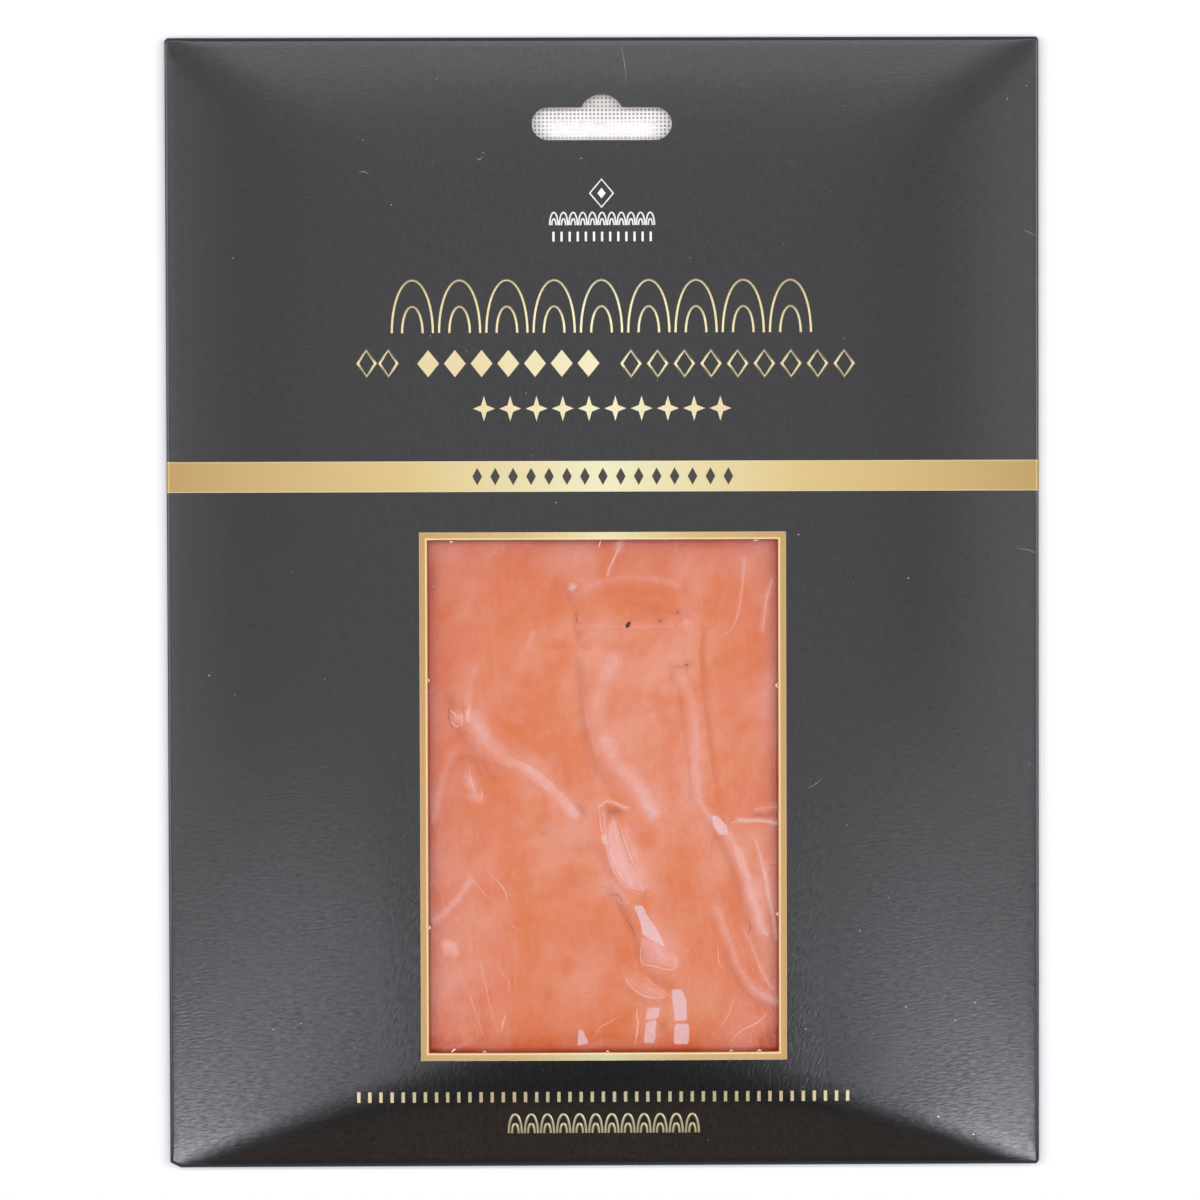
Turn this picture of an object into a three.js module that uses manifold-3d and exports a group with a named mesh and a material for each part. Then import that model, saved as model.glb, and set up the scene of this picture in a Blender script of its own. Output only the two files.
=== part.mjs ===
// A flat retail pack of sliced smoked salmon, lying on its back with the front up.
//
// A glued card sleeve, folded along all four edges, holds a flat vacuum pouch. The sleeve's front has a
// window that shows the salmon under the pouch's clear film, and both panels have a hang slot, behind
// which the pouch's sealed top margin shows. The front panel swells over the fish: it climbs steeply from
// the bottom fold, slowly from the side folds, and meets itself along a soft hip at each corner.
//
// Millimetres. +X is to the right of the front, +Y towards the hang slot, +Z up out of the front.
// The origin is on the surface that the pack lies on, under the middle of the sleeve.
import * as THREE from "three";
import { mergeVertices } from "three/addons/utils/BufferGeometryUtils.js";
import Module from "manifold-3d";

const wasm = await Module();
wasm.setup();

// Sleeve
const sleeveWidth = 200;
const sleeveHeight = 259;
const card = 0.4; // board thickness
const foldLift = 1.2; // height of the folded edges' underside above the flat of the back
const foldTop = foldLift + 2 * card; // where the front panel starts at the folds
const swell = 4.3; // rise of the front panel from its folds to its middle
const sideClimb = 62; // width of the slope along each side fold
const bottomClimb = 24; // width of the slope along the bottom fold
const topClimb = 46; // width of the slope along the top fold
const sideRound = 0.95; // how gently each slope runs out into the flat, 0 sharp to 1 round
const bottomRound = 0.45;
const topRound = 0.85;
const hipRound = 0.22; // the same where two slopes meet at a corner
const backCurl = 10; // width of the margin over which the back rises to the folds
const cavityInset = 1.6; // glued and folded margin that stays solid
const sleeveCells = [20, 26];
const edgeCrowding = 0.62; // share of the grid's spacing that crowds towards the folds

// Small cuts that the folding leaves at the sleeve's corners
const cornerCuts = [
  { side: -1, end: -1, across: 2.4, along: 1.2 },
  { side: 1, end: -1, across: 0.6, along: 0.8 },
  { side: -1, end: 1, across: 0.7, along: 0.6 },
  { side: 1, end: 1, across: 0.5, along: 0.7 },
];

// Window in the front panel
const windowCentre = new THREE.Vector2(-0.2, -44.2);
const windowWidth = 80.2;
const windowHeight = 117.4;

// Hang slot through both panels
const slotCentre = new THREE.Vector2(-0.1, 109.6);
const slotWidth = 32;
const slotHeight = 7.5;
const slotBumpRise = 3;
const slotBumpRadius = 5.2;

// Vacuum pouch
const slack = 0.3; // air between the pouch and the card
const pouchInset = 11; // from the sleeve's edge to the pouch's edge
const sealThickness = 0.6; // the sealed margin with its backing board
const pouchBase = card + slack;
const fishWidth = 150;
const fishBottom = -112;
const fishTop = 82;
const fishShoulder = 14; // width of the slope from the fish down to the sealed margin
const windowSink = 1.25; // how far the film lies under the card round the window
const pouchCells = [16, 22];
const reliefMargin = 2.5; // how far the fine relief runs on under the card
const coarseSink = 0.6; // how far the coarse slab stays below the fine relief
const reliefPitch = 2.6;

// Slices of fish in the window, lowest first: an oval outline at a place, turned by an angle in degrees
const sliceStep = 0.3;
const sliceEdge = 3;
const slices = [
  { x: -22, y: -76, across: 31, along: 37, turn: 8 },
  { x: 22, y: -80, across: 22, along: 36, turn: 10 },
  { x: 38, y: -26, across: 18, along: 28, turn: 0 },
  { x: 8, y: -28, across: 14, along: 21, turn: 6 },
  { x: -26, y: -6, across: 22, along: 38, turn: 32 },
  { x: 14, y: 1, across: 22, along: 8, turn: 0 },
];

// Folds and creases where the film stands off the fish: two ends, the point that bends the line between
// them, height and half width
const folds = [
  { from: [-30.2, -24.6], bend: [-20.5, -39.3], to: [-5.9, -47.7], high: 0.55, half: 2.2 },
  { from: [-3, -13.9], bend: [-3.5, -34.4], to: [8.3, -47.7], high: 0.45, half: 3 },
  { from: [0.5, -49.1], bend: [-0.1, -60.5], to: [9.4, -69.5], high: 0.6, half: 2.4 },
  { from: [8.2, -69.2], bend: [9.4, -77.6], to: [15.6, -80.8], high: 0.5, half: 2 },
  { from: [4.6, -85.4], bend: [5.5, -91.6], to: [14.7, -90.5], high: 0.4, half: 1.8 },
  { from: [20.6, -22], bend: [19.8, -38.5], to: [28.5, -53.1], high: 0.45, half: 1.9 },
  { from: [28.5, -53.1], bend: [34.1, -63.6], to: [35.2, -77.7], high: 0.45, half: 2 },
  { from: [22.1, -61.1], bend: [25.5, -81.7], to: [40, -87.8], high: 0.45, half: 2.4 },
  { from: [29.7, -50.4], bend: [34.8, -49.3], to: [40.4, -50.9], high: 0.45, half: 1.4 },
  { from: [-38.2, -8], bend: [-34, -31.2], to: [-38.6, -52.9], high: 0.3, half: 1.8 },
  { from: [-34.1, -35.7], bend: [-31.2, -39.1], to: [-29, -44.9], high: 0.45, half: 1.9 },
  { from: [33.1, 10.1], bend: [32, -1.4], to: [27.3, -8.7], high: 0.25, half: 1.4 },
  { from: [-33.2, -78.4], bend: [-28.7, -93.5], to: [-25.8, -103], high: 0.22, half: 1.4 },
];
const foldSamples = 12;

// The lesser of two values, rounded off where they cross.
function softMin(a, b, round) {
  const h = Math.max(round - Math.abs(a - b), 0) / round;
  return Math.min(a, b) - (h * h * round) / 4;
}

// From 0 at the first limit to 1 at the second, with level ends.
function smoothStep(low, high, value) {
  const t = THREE.MathUtils.clamp((value - low) / (high - low), 0, 1);
  return t * t * (3 - 2 * t);
}

// Share of the full swell at a distance in from a fold.
function climb(distance, width, round) {
  return softMin(distance / width, 1, round) / softMin(width * 4, 1, round);
}

// Distances from a point to the side, bottom and top folds.
function toFolds(x, y) {
  return {
    side: sleeveWidth / 2 - Math.abs(x),
    bottom: sleeveHeight / 2 + y,
    top: sleeveHeight / 2 - y,
  };
}

// Height of the front panel's outer face.
function frontFace(x, y) {
  const { side, bottom, top } = toFolds(x, y);
  const ends = Math.min(climb(bottom, bottomClimb, bottomRound), climb(top, topClimb, topRound));
  const share = softMin(climb(side, sideClimb, sideRound), ends, hipRound);
  return foldTop + swell * Math.max(share, 0);
}

// Height of the back panel's outer face: flat, and curled up to the folds.
function backFace(x, y) {
  const { side, bottom, top } = toFolds(x, y);
  const inward = Math.min(side, bottom, top) / backCurl;
  return foldLift * (1 - smoothStep(0, 1, inward));
}

// Relief of the slices: each one lies a step higher where it laps over another.
function sliceRelief(x, y) {
  let height = 0;
  for (const slice of slices) {
    const turn = THREE.MathUtils.degToRad(slice.turn);
    const dx = x - slice.x;
    const dy = y - slice.y;
    const across = (dx * Math.cos(turn) + dy * Math.sin(turn)) / slice.across;
    const along = (-dx * Math.sin(turn) + dy * Math.cos(turn)) / slice.along;
    const inside = (1 - Math.hypot(across, along)) * Math.min(slice.across, slice.along);
    height += sliceStep * smoothStep(0, sliceEdge, inside);
  }
  return height;
}

// Each fold's line as a row of points along its curve.
const foldLines = folds.map(({ from, bend, to, high, half }) => ({
  high,
  half,
  points: new THREE.QuadraticBezierCurve3(
    new THREE.Vector3(...from, 0),
    new THREE.Vector3(...bend, 0),
    new THREE.Vector3(...to, 0),
  ).getPoints(foldSamples),
}));

// Relief of the film's folds: the highest of the rounded ridges at a point.
function foldRelief(x, y) {
  const here = new THREE.Vector3(x, y, 0);
  const nearest = new THREE.Vector3();
  const stretch = new THREE.Line3();
  let height = 0;
  for (const { high, half, points } of foldLines) {
    let distance = Infinity;
    for (let i = 1; i < points.length; i += 1) {
      stretch.set(points[i - 1], points[i]).closestPointToPoint(here, true, nearest);
      distance = Math.min(distance, nearest.distanceTo(here));
    }
    height = Math.max(height, high * Math.exp(-((distance / half) ** 2)));
  }
  return height;
}

// Height of the pouch's upper film, without its relief.
function pouchFace(x, y) {
  const middle = (fishTop + fishBottom) / 2;
  const inside = Math.min(
    fishWidth / 2 - Math.abs(x),
    (fishTop - fishBottom) / 2 - Math.abs(y - middle),
  );
  const sealed = pouchBase + sealThickness;
  const full = frontFace(x, y) - card - slack - windowSink;
  return sealed + Math.max(full - sealed, 0) * smoothStep(0, fishShoulder, inside);
}

// Height of the pouch's upper film in the window, with slices and folds, kept clear of the card.
function reliefFace(x, y) {
  const relief = pouchFace(x, y) + sliceRelief(x, y) - sliceStep + foldRelief(x, y);
  return Math.min(relief, frontFace(x, y) - card - slack);
}

// A closed slab on a rectangle, divided into cells, whose faces follow two height functions.
function slab({ centre, width, height, cells, crowding, top, bottom }) {
  const geometry = new THREE.BoxGeometry(2, 2, 2, cells[0], cells[1], 1);
  const place = geometry.attributes.position;
  const spread = (t) => (1 - crowding) * t + crowding * Math.sin((t * Math.PI) / 2);
  for (let i = 0; i < place.count; i += 1) {
    const x = centre.x + (spread(place.getX(i)) * width) / 2;
    const y = centre.y + (spread(place.getY(i)) * height) / 2;
    place.setXYZ(i, x, y, place.getZ(i) > 0 ? top(x, y) : bottom(x, y));
  }
  return geometry;
}

// A manifold solid from a closed three.js geometry.
function solidOf(geometry) {
  const plain = geometry.clone();
  plain.deleteAttribute("normal");
  plain.deleteAttribute("uv");
  const merged = mergeVertices(plain, 1e-4);
  return new wasm.Manifold(
    new wasm.Mesh({
      numProp: 3,
      vertProperties: merged.attributes.position.array,
      triVerts: new Uint32Array(merged.index.array),
    }),
  );
}

// A three.js geometry from a manifold solid.
function geometryOf(solid) {
  const mesh = solid.getMesh();
  const geometry = new THREE.BufferGeometry();
  geometry.setAttribute("position", new THREE.BufferAttribute(mesh.vertProperties, 3));
  geometry.setIndex(new THREE.BufferAttribute(mesh.triVerts, 1));
  geometry.computeVertexNormals();
  return geometry;
}

// A prism of a flat shape between two heights.
function prism(shape, low, high, curveSegments = 12) {
  const geometry = new THREE.ExtrudeGeometry(shape, {
    depth: high - low,
    bevelEnabled: false,
    curveSegments,
  });
  return solidOf(geometry.translate(0, 0, low));
}

// Outline of the window.
function windowShape() {
  const left = windowCentre.x - windowWidth / 2;
  const low = windowCentre.y - windowHeight / 2;
  return new THREE.Shape([
    new THREE.Vector2(left, low),
    new THREE.Vector2(left + windowWidth, low),
    new THREE.Vector2(left + windowWidth, low + windowHeight),
    new THREE.Vector2(left, low + windowHeight),
  ]);
}

// Outline of the hang slot: a bar with round ends and a round bump in the middle of its upper side.
function slotShape() {
  const endRadius = slotHeight / 2;
  const straight = slotWidth / 2 - endRadius;
  const bumpMiddle = slotCentre.y + endRadius + slotBumpRise - slotBumpRadius;
  const sink = slotCentre.y + endRadius - bumpMiddle;
  const bumpStart = Math.asin(sink / slotBumpRadius);
  return new THREE.Shape()
    .moveTo(slotCentre.x - straight, slotCentre.y - endRadius)
    .lineTo(slotCentre.x + straight, slotCentre.y - endRadius)
    .absarc(slotCentre.x + straight, slotCentre.y, endRadius, -Math.PI / 2, Math.PI / 2, false)
    .absarc(slotCentre.x, bumpMiddle, slotBumpRadius, bumpStart, Math.PI - bumpStart, false)
    .absarc(slotCentre.x - straight, slotCentre.y, endRadius, Math.PI / 2, (3 * Math.PI) / 2, false);
}

// Outline of the piece that a corner cut takes off.
function cornerShape({ side, end, across, along }) {
  const x = (side * sleeveWidth) / 2;
  const y = (end * sleeveHeight) / 2;
  const shape = new THREE.Shape([
    new THREE.Vector2(x + side, y + end),
    new THREE.Vector2(x - side * across, y + end),
    new THREE.Vector2(x - side * across, y),
    new THREE.Vector2(x, y - end * along),
    new THREE.Vector2(x + side, y - end * along),
  ]);
  return shape;
}

// The card sleeve: the outer form, hollowed, with its window, slots and cut corners.
function cardSleeve() {
  const outside = {
    centre: new THREE.Vector2(0, 0),
    width: sleeveWidth,
    height: sleeveHeight,
    cells: sleeveCells,
    crowding: edgeCrowding,
    top: frontFace,
    bottom: backFace,
  };
  const inside = {
    ...outside,
    width: sleeveWidth - 2 * cavityInset,
    height: sleeveHeight - 2 * cavityInset,
    top: (x, y) => frontFace(x, y) - card,
    bottom: (x, y) => backFace(x, y) + card,
  };
  const middle = foldTop;
  const above = foldTop + swell + 1;
  let sleeve = solidOf(slab(outside)).subtract(solidOf(slab(inside)));
  sleeve = sleeve.subtract(prism(windowShape(), middle, above));
  sleeve = sleeve.subtract(prism(slotShape(), -1, above));
  for (const cut of cornerCuts) {
    sleeve = sleeve.subtract(prism(cornerShape(cut), -1, above));
  }
  return geometryOf(sleeve);
}

// True at points behind the window.
function inWindow(x, y) {
  return (
    Math.abs(x - windowCentre.x) < windowWidth / 2 && Math.abs(y - windowCentre.y) < windowHeight / 2
  );
}

// The sealed pouch: a coarse slab with a sealed margin, joined to a fine one where the window shows it.
function salmonPouch() {
  const whole = slab({
    centre: new THREE.Vector2(0, 0),
    width: sleeveWidth - 2 * pouchInset,
    height: sleeveHeight - 2 * pouchInset,
    cells: pouchCells,
    crowding: 0,
    top: (x, y) => pouchFace(x, y) - (inWindow(x, y) ? coarseSink : 0),
    bottom: () => pouchBase,
  });
  const width = windowWidth + 2 * reliefMargin;
  const height = windowHeight + 2 * reliefMargin;
  const shown = slab({
    centre: windowCentre,
    width,
    height,
    cells: [Math.round(width / reliefPitch), Math.round(height / reliefPitch)],
    crowding: 0,
    top: reliefFace,
    bottom: () => pouchBase + sealThickness / 2,
  });
  return geometryOf(solidOf(whole).add(solidOf(shown)));
}

const blackCard = new THREE.MeshStandardMaterial({
  color: "#26262a",
  roughness: 0.32,
  metalness: 0,
});
const filmOverSalmon = new THREE.MeshStandardMaterial({
  color: "#e29078",
  roughness: 0.22,
  metalness: 0,
});

function piece(name, geometry, material) {
  const mesh = new THREE.Mesh(geometry, material);
  mesh.name = name;
  return mesh;
}

const pack = new THREE.Group();
pack.add(piece("card_sleeve", cardSleeve(), blackCard));
pack.add(piece("salmon_pouch", salmonPouch(), filmOverSalmon));

export default pack;
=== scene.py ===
"""Looks and studio for a flat retail pack of sliced smoked salmon, lying on its back.

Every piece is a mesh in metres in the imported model's frame: +X to the right of the printed front, +Y
towards the hang slot, +Z up out of the front. The card sleeve is a folded shell, its print is thin foil
that follows the card, and the pouch is clear film over thin slices of fish.
"""

import logging
import math
from dataclasses import dataclass, field
from enum import Enum
from functools import partial
from typing import Callable, Iterable, Sequence

import bmesh
import bpy
import numpy as np
from mathutils import Matrix, Vector
from mathutils.geometry import delaunay_2d_cdt


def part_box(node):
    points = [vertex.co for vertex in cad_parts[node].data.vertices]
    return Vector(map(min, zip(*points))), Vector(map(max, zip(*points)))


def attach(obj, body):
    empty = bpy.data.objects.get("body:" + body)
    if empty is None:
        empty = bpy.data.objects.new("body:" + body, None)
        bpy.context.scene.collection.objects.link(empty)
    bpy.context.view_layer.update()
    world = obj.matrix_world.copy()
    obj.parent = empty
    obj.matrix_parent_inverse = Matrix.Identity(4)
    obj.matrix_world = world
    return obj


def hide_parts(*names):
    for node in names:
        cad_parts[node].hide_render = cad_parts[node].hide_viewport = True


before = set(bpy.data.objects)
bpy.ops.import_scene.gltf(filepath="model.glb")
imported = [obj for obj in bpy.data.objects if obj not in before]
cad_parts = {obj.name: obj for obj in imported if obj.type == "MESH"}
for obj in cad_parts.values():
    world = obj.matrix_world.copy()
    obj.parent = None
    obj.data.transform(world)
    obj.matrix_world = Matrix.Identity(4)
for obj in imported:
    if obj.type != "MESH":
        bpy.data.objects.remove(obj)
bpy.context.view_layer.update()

LOG = logging.getLogger("salmon_pack")
MM = 0.001
SEAM_GAP = 0.0012 * MM
BODY = "root"
Point = tuple[float, float]
Colour = tuple[float, float, float, float]
Height = Callable[[np.ndarray, np.ndarray], np.ndarray]
Socket = bpy.types.NodeSocket
Number = Socket | float
FieldValues = Callable[[np.ndarray], np.ndarray]


def soft_min(a: np.ndarray | float, b: np.ndarray | float, reach: float) -> np.ndarray:
    """Give the lesser of two values, rounded off where they cross.

    Args:
        a: First value.
        b: Second value.
        reach: Difference within which the crossing is rounded.

    Returns:
        The rounded minimum.
    """
    overlap = np.maximum(reach - np.abs(a - b), 0.0) / reach
    return np.minimum(a, b) - overlap**2 * reach / 4


def smooth_step(low: float, high: float, value: np.ndarray | float) -> np.ndarray:
    """Rise smoothly from 0 at low to 1 at high."""
    t = np.clip((value - low) / (high - low), 0.0, 1.0)
    return t * t * (3 - 2 * t)


def to_metres(points: Iterable[Point]) -> np.ndarray:
    """Turn points given in millimetres into an array in metres."""
    return np.array(list(points), dtype=float) * MM


def walk(outline: np.ndarray, spacing: float, counts: Sequence[int] | None = None) -> np.ndarray:
    """Divide the edges of a closed outline into short steps.

    Args:
        outline: Corners of the outline.
        spacing: Longest step.
        counts: Number of steps on each edge, where it is set beforehand.

    Returns:
        The points of the divided outline.
    """
    following = np.roll(outline, -1, axis=0)
    if counts is None:
        counts = step_counts(outline, spacing)
    parts = [
        start + (end - start) * np.linspace(0, 1, count, endpoint=False)[:, None]
        for start, end, count in zip(outline, following, counts)
    ]
    return np.concatenate(parts)


def step_counts(outline: np.ndarray, spacing: float) -> list[int]:
    """Count the steps that each edge of an outline needs."""
    lengths = np.linalg.norm(np.roll(outline, -1, axis=0) - outline, axis=1)
    return [max(1, math.ceil(length / spacing)) for length in lengths]


def inset(outline: np.ndarray, distance: float) -> np.ndarray:
    """Move every edge of a convex outline inwards, by a distance.

    Args:
        outline: Corners, anticlockwise.
        distance: How far the edges move.

    Returns:
        The corners where neighbouring edges meet again.
    """
    along = np.roll(outline, -1, axis=0) - outline
    along /= np.linalg.norm(along, axis=1)[:, None]
    inward = np.stack([-along[:, 1], along[:, 0]], axis=1)
    before = np.roll(inward, 1, axis=0)
    turn = 1 + (inward * before).sum(axis=1)
    return outline + (inward + before) * (distance / turn)[:, None]


def depth_in(outline: np.ndarray, points: np.ndarray) -> np.ndarray:
    """Measure how far inside a convex outline points lie.

    Args:
        outline: Corners, anticlockwise.
        points: The points.

    Returns:
        The distance of each point to the nearest edge's line, negative outside.
    """
    depth = np.full(len(points), np.inf)
    for start, end in zip(outline, np.roll(outline, -1, axis=0)):
        along = (end - start) / np.linalg.norm(end - start)
        offset = points - start
        depth = np.minimum(depth, along[0] * offset[:, 1] - along[1] * offset[:, 0])
    return depth


def is_inside(outline: np.ndarray, points: np.ndarray) -> np.ndarray:
    """Tell which points lie inside a closed outline of any shape.

    Args:
        outline: Corners of the outline.
        points: The points.

    Returns:
        True for each point that lies inside.
    """
    inside = np.zeros(len(points), dtype=bool)
    x, y = points[:, 0], points[:, 1]
    for (x0, y0), (x1, y1) in zip(outline, np.roll(outline, -1, axis=0)):
        if y0 == y1:
            continue
        crosses = (y0 > y) != (y1 > y)
        inside ^= crosses & (x < (x1 - x0) * (y - y0) / (y1 - y0) + x0)
    return inside


def distance_to(path: np.ndarray, points: np.ndarray) -> np.ndarray:
    """Measure the distance from points to an open path.

    Args:
        path: Points of the path.
        points: The points.

    Returns:
        The distance of each point.
    """
    nearest = np.full(len(points), np.inf)
    for start, end in zip(path[:-1], path[1:]):
        along = end - start
        share = np.clip((points - start) @ along / (along @ along), 0, 1)
        gap = np.linalg.norm(points - start - share[:, None] * along, axis=1)
        nearest = np.minimum(nearest, gap)
    return nearest


def closed(loop: np.ndarray) -> np.ndarray:
    """Repeat a loop's first point at its end, which makes a path of it."""
    return np.concatenate([loop, loop[:1]])


def cut_corners(loop: np.ndarray, share: float, rounds: int) -> np.ndarray:
    """Cut the corners of a closed loop.

    Args:
        loop: Points of the loop.
        share: Share of each edge that a cut takes at either end.
        rounds: How often to cut.

    Returns:
        The points of the new loop.
    """
    for _ in range(rounds):
        following = np.roll(loop, -1, axis=0)
        ahead = loop * (1 - share) + following * share
        behind = loop * share + following * (1 - share)
        loop = np.stack([ahead, behind], axis=1).reshape(-1, 2)
    return loop


def rounded_path(points: np.ndarray, rounds: int = 2) -> np.ndarray:
    """Cut the corners of an open path, keeping its ends.

    Args:
        points: Points of the path.
        rounds: How often to cut.

    Returns:
        The points of the new path.
    """
    for _ in range(rounds):
        ahead = points[:-1] * 0.75 + points[1:] * 0.25
        behind = points[:-1] * 0.25 + points[1:] * 0.75
        middle = np.stack([ahead, behind], axis=1).reshape(-1, 2)
        points = np.concatenate([points[:1], middle[1:-1], points[-1:]])
    return points


def lattice(low: Point, high: Point, spacing: float) -> np.ndarray:
    """Make the points of a staggered grid inside a rectangle.

    Args:
        low: The rectangle's lower left corner.
        high: Its upper right corner.
        spacing: Distance between the points.

    Returns:
        The points.
    """
    rows = max(2, round((high[1] - low[1]) / spacing) + 1)
    columns = max(2, round((high[0] - low[0]) / spacing) + 1)
    x = np.linspace(low[0], high[0], columns)
    y = np.linspace(low[1], high[1], rows)
    grid = np.stack(np.meshgrid(x, y), axis=-1)
    grid[1::2, :, 0] += spacing / 2
    return grid.reshape(-1, 2)


@dataclass
class FlatDomain:
    """A flat region with holes, filled with triangles.

    Attributes:
        outline: Closed outer outline.
        holes: Closed outlines of the holes.
        spacing: Distance between the points that fill it.
        extra_loops: Further closed loops that edges must follow.
        extra_points: Further points to fill it with.
        clearance: Share of the spacing that filling points keep from every loop.
        merge: Distance below which two points become one.
    """

    outline: np.ndarray
    holes: list[np.ndarray] = field(default_factory=list)
    spacing: float = 2.2 * MM
    extra_loops: list[np.ndarray] = field(default_factory=list)
    extra_points: list[np.ndarray] = field(default_factory=list)
    clearance: float = 0.4
    merge: float = 1e-7

    def fill(self) -> tuple[np.ndarray, np.ndarray]:
        """Triangulate the region.

        Returns:
            Its points, and its triangles as rows of three point numbers, anticlockwise.
        """
        loops = [self.outline, *self.holes, *self.extra_loops]
        points: list[np.ndarray] = []
        edges: list[Point] = []
        for loop in loops:
            first = sum(map(len, points))
            count = len(loop)
            edges += [(first + i, first + (i + 1) % count) for i in range(count)]
            points.append(loop)
        grid = lattice(self.outline.min(axis=0), self.outline.max(axis=0), self.spacing)
        grid = grid[is_inside(self.outline, grid)]
        for hole in self.holes:
            grid = grid[~is_inside(hole, grid)]
        for loop in loops:
            grid = grid[distance_to(closed(loop), grid) > self.spacing * self.clearance]
        points += [grid, *self.extra_points]
        places = [Vector(p) for p in np.concatenate(points)]
        corners, _, faces, *_ = delaunay_2d_cdt(places, edges, [], 0, self.merge)
        flat = np.array([tuple(c) for c in corners])
        triangles = np.array([f for f in faces if len(f) == 3])
        middles = flat[triangles].mean(axis=1)
        keep = is_inside(self.outline, middles)
        for hole in self.holes:
            keep &= ~is_inside(hole, middles)
        return flat, triangles[keep]


class PieceMesh:
    """Gathers the surfaces of one piece and makes its object."""

    def __init__(self) -> None:
        """Start with no surface."""
        self.points: list[np.ndarray] = []
        self.faces: list[tuple[int, ...]] = []
        self.tints: list[int] = []
        self.count = 0

    def add(self, points: np.ndarray, faces: np.ndarray, tint: int = 0, flip: bool = False) -> None:
        """Add a surface.

        Args:
            points: Places of its points.
            faces: Rows of point numbers.
            tint: Number of the material that it wears.
            flip: True to turn its faces over.
        """
        rows = np.asarray(faces) + self.count
        if flip:
            rows = rows[:, ::-1]
        self.faces += [tuple(row) for row in rows.tolist()]
        self.tints += [tint] * len(rows)
        self.points.append(points)
        self.count += len(points)

    def lift(self, domain: FlatDomain, height: Height, tint: int = 0, flip: bool = False) -> None:
        """Add a filled region, lifted to a height function.

        Args:
            domain: The region.
            height: Gives the height over each place.
            tint: Number of the material that it wears.
            flip: True to turn its faces over.
        """
        flat, triangles = domain.fill()
        z = height(flat[:, 0], flat[:, 1])
        self.add(np.column_stack([flat, z]), triangles, tint, flip)

    def slab(self, upper: FlatDomain, lower: FlatDomain, top: Height, bottom: Height) -> None:
        """Add a plate: its two faces and the wall round its outline.

        Args:
            upper: Filling of the upper face.
            lower: Filling of the lower face, with the same outline.
            top: Height of the upper face.
            bottom: Height of the lower face.
        """
        self.lift(upper, top)
        self.lift(lower, bottom, flip=True)
        self.wall(upper.outline, top, bottom)

    def wall(self, loop: np.ndarray, top: Height, bottom: Height, tint: int = 0) -> None:
        """Add a wall between two height functions.

        Args:
            loop: The closed loop that it follows.
            top: Height of its upper edge.
            bottom: Height of its lower edge.
            tint: Number of the material that it wears.
        """
        count = len(loop)
        upper = np.column_stack([loop, top(loop[:, 0], loop[:, 1])])
        lower = np.column_stack([loop, bottom(loop[:, 0], loop[:, 1])])
        here = np.arange(count)
        following = (here + 1) % count
        quads = np.stack([here, here + count, following + count, following], axis=1)
        self.add(np.concatenate([upper, lower]), quads, tint)

    def make(
        self, name: str, materials: Sequence[bpy.types.Material], sharp: float = 40
    ) -> bpy.types.Object:
        """Join the surfaces where they touch and make the object.

        Args:
            name: Name of the piece.
            materials: Materials by their number.
            sharp: Angle in degrees past which an edge is shown sharp.

        Returns:
            The new object, linked to the scene.
        """
        mesh = bpy.data.meshes.new(name)
        mesh.from_pydata(np.concatenate(self.points), [], self.faces)
        mesh.polygons.foreach_set("material_index", self.tints)
        close_seams(mesh)
        mesh.polygons.foreach_set("use_smooth", np.ones(len(mesh.polygons), dtype=bool))
        mesh.set_sharp_from_angle(angle=math.radians(sharp))
        for material in materials:
            mesh.materials.append(material)
        return blank_object(name, mesh)


def close_seams(mesh: bpy.types.Mesh) -> None:
    """Merge points that coincide and turn every face outwards.

    Args:
        mesh: The mesh to mend.
    """
    work = bmesh.new()
    work.from_mesh(mesh)
    bmesh.ops.remove_doubles(work, verts=work.verts, dist=SEAM_GAP)
    bmesh.ops.dissolve_degenerate(work, edges=work.edges, dist=SEAM_GAP)
    bmesh.ops.recalc_face_normals(work, faces=work.faces)
    work.to_mesh(mesh)
    work.free()
    mesh.update()


def places_of(mesh: bpy.types.Mesh) -> np.ndarray:
    """Read the places of a mesh's points.

    Args:
        mesh: The mesh.

    Returns:
        Rows of X, Y and Z.
    """
    places = np.empty(len(mesh.vertices) * 3)
    mesh.vertices.foreach_get("co", places)
    return places.reshape(-1, 3)


def store_field(piece: bpy.types.Object, name: str, values: FieldValues) -> None:
    """Keep a number at every point of a piece, for its material.

    Args:
        piece: The piece.
        name: Name of the attribute.
        values: Gives the numbers from the places of the points.
    """
    layer = piece.data.attributes.new(name, "FLOAT", "POINT")
    layer.data.foreach_set("value", np.asarray(values(places_of(piece.data)), dtype=np.float32))


def blank_object(name: str, data: bpy.types.ID | None = None) -> bpy.types.Object:
    """Make an object and link it to the scene.

    Args:
        name: Name of the object.
        data: What it shows; an empty mesh if nothing is given.

    Returns:
        The new object.
    """
    made = bpy.data.objects.new(name, data or bpy.data.meshes.new(name))
    bpy.context.scene.collection.objects.link(made)
    return made


def settle(mesh: bpy.types.Mesh, height: Height) -> None:
    """Raise every point of a mesh by the height of what it lies on.

    Args:
        mesh: The mesh.
        height: Gives that height over each place.
    """
    places = places_of(mesh)
    places[:, 2] += height(places[:, 0], places[:, 1])
    mesh.vertices.foreach_set("co", places.ravel())
    mesh.update()


@dataclass(frozen=True)
class CornerCut:
    """A small piece that is missing from a corner of the sleeve, in millimetres."""

    side: int
    end: int
    across: float
    along: float


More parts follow.
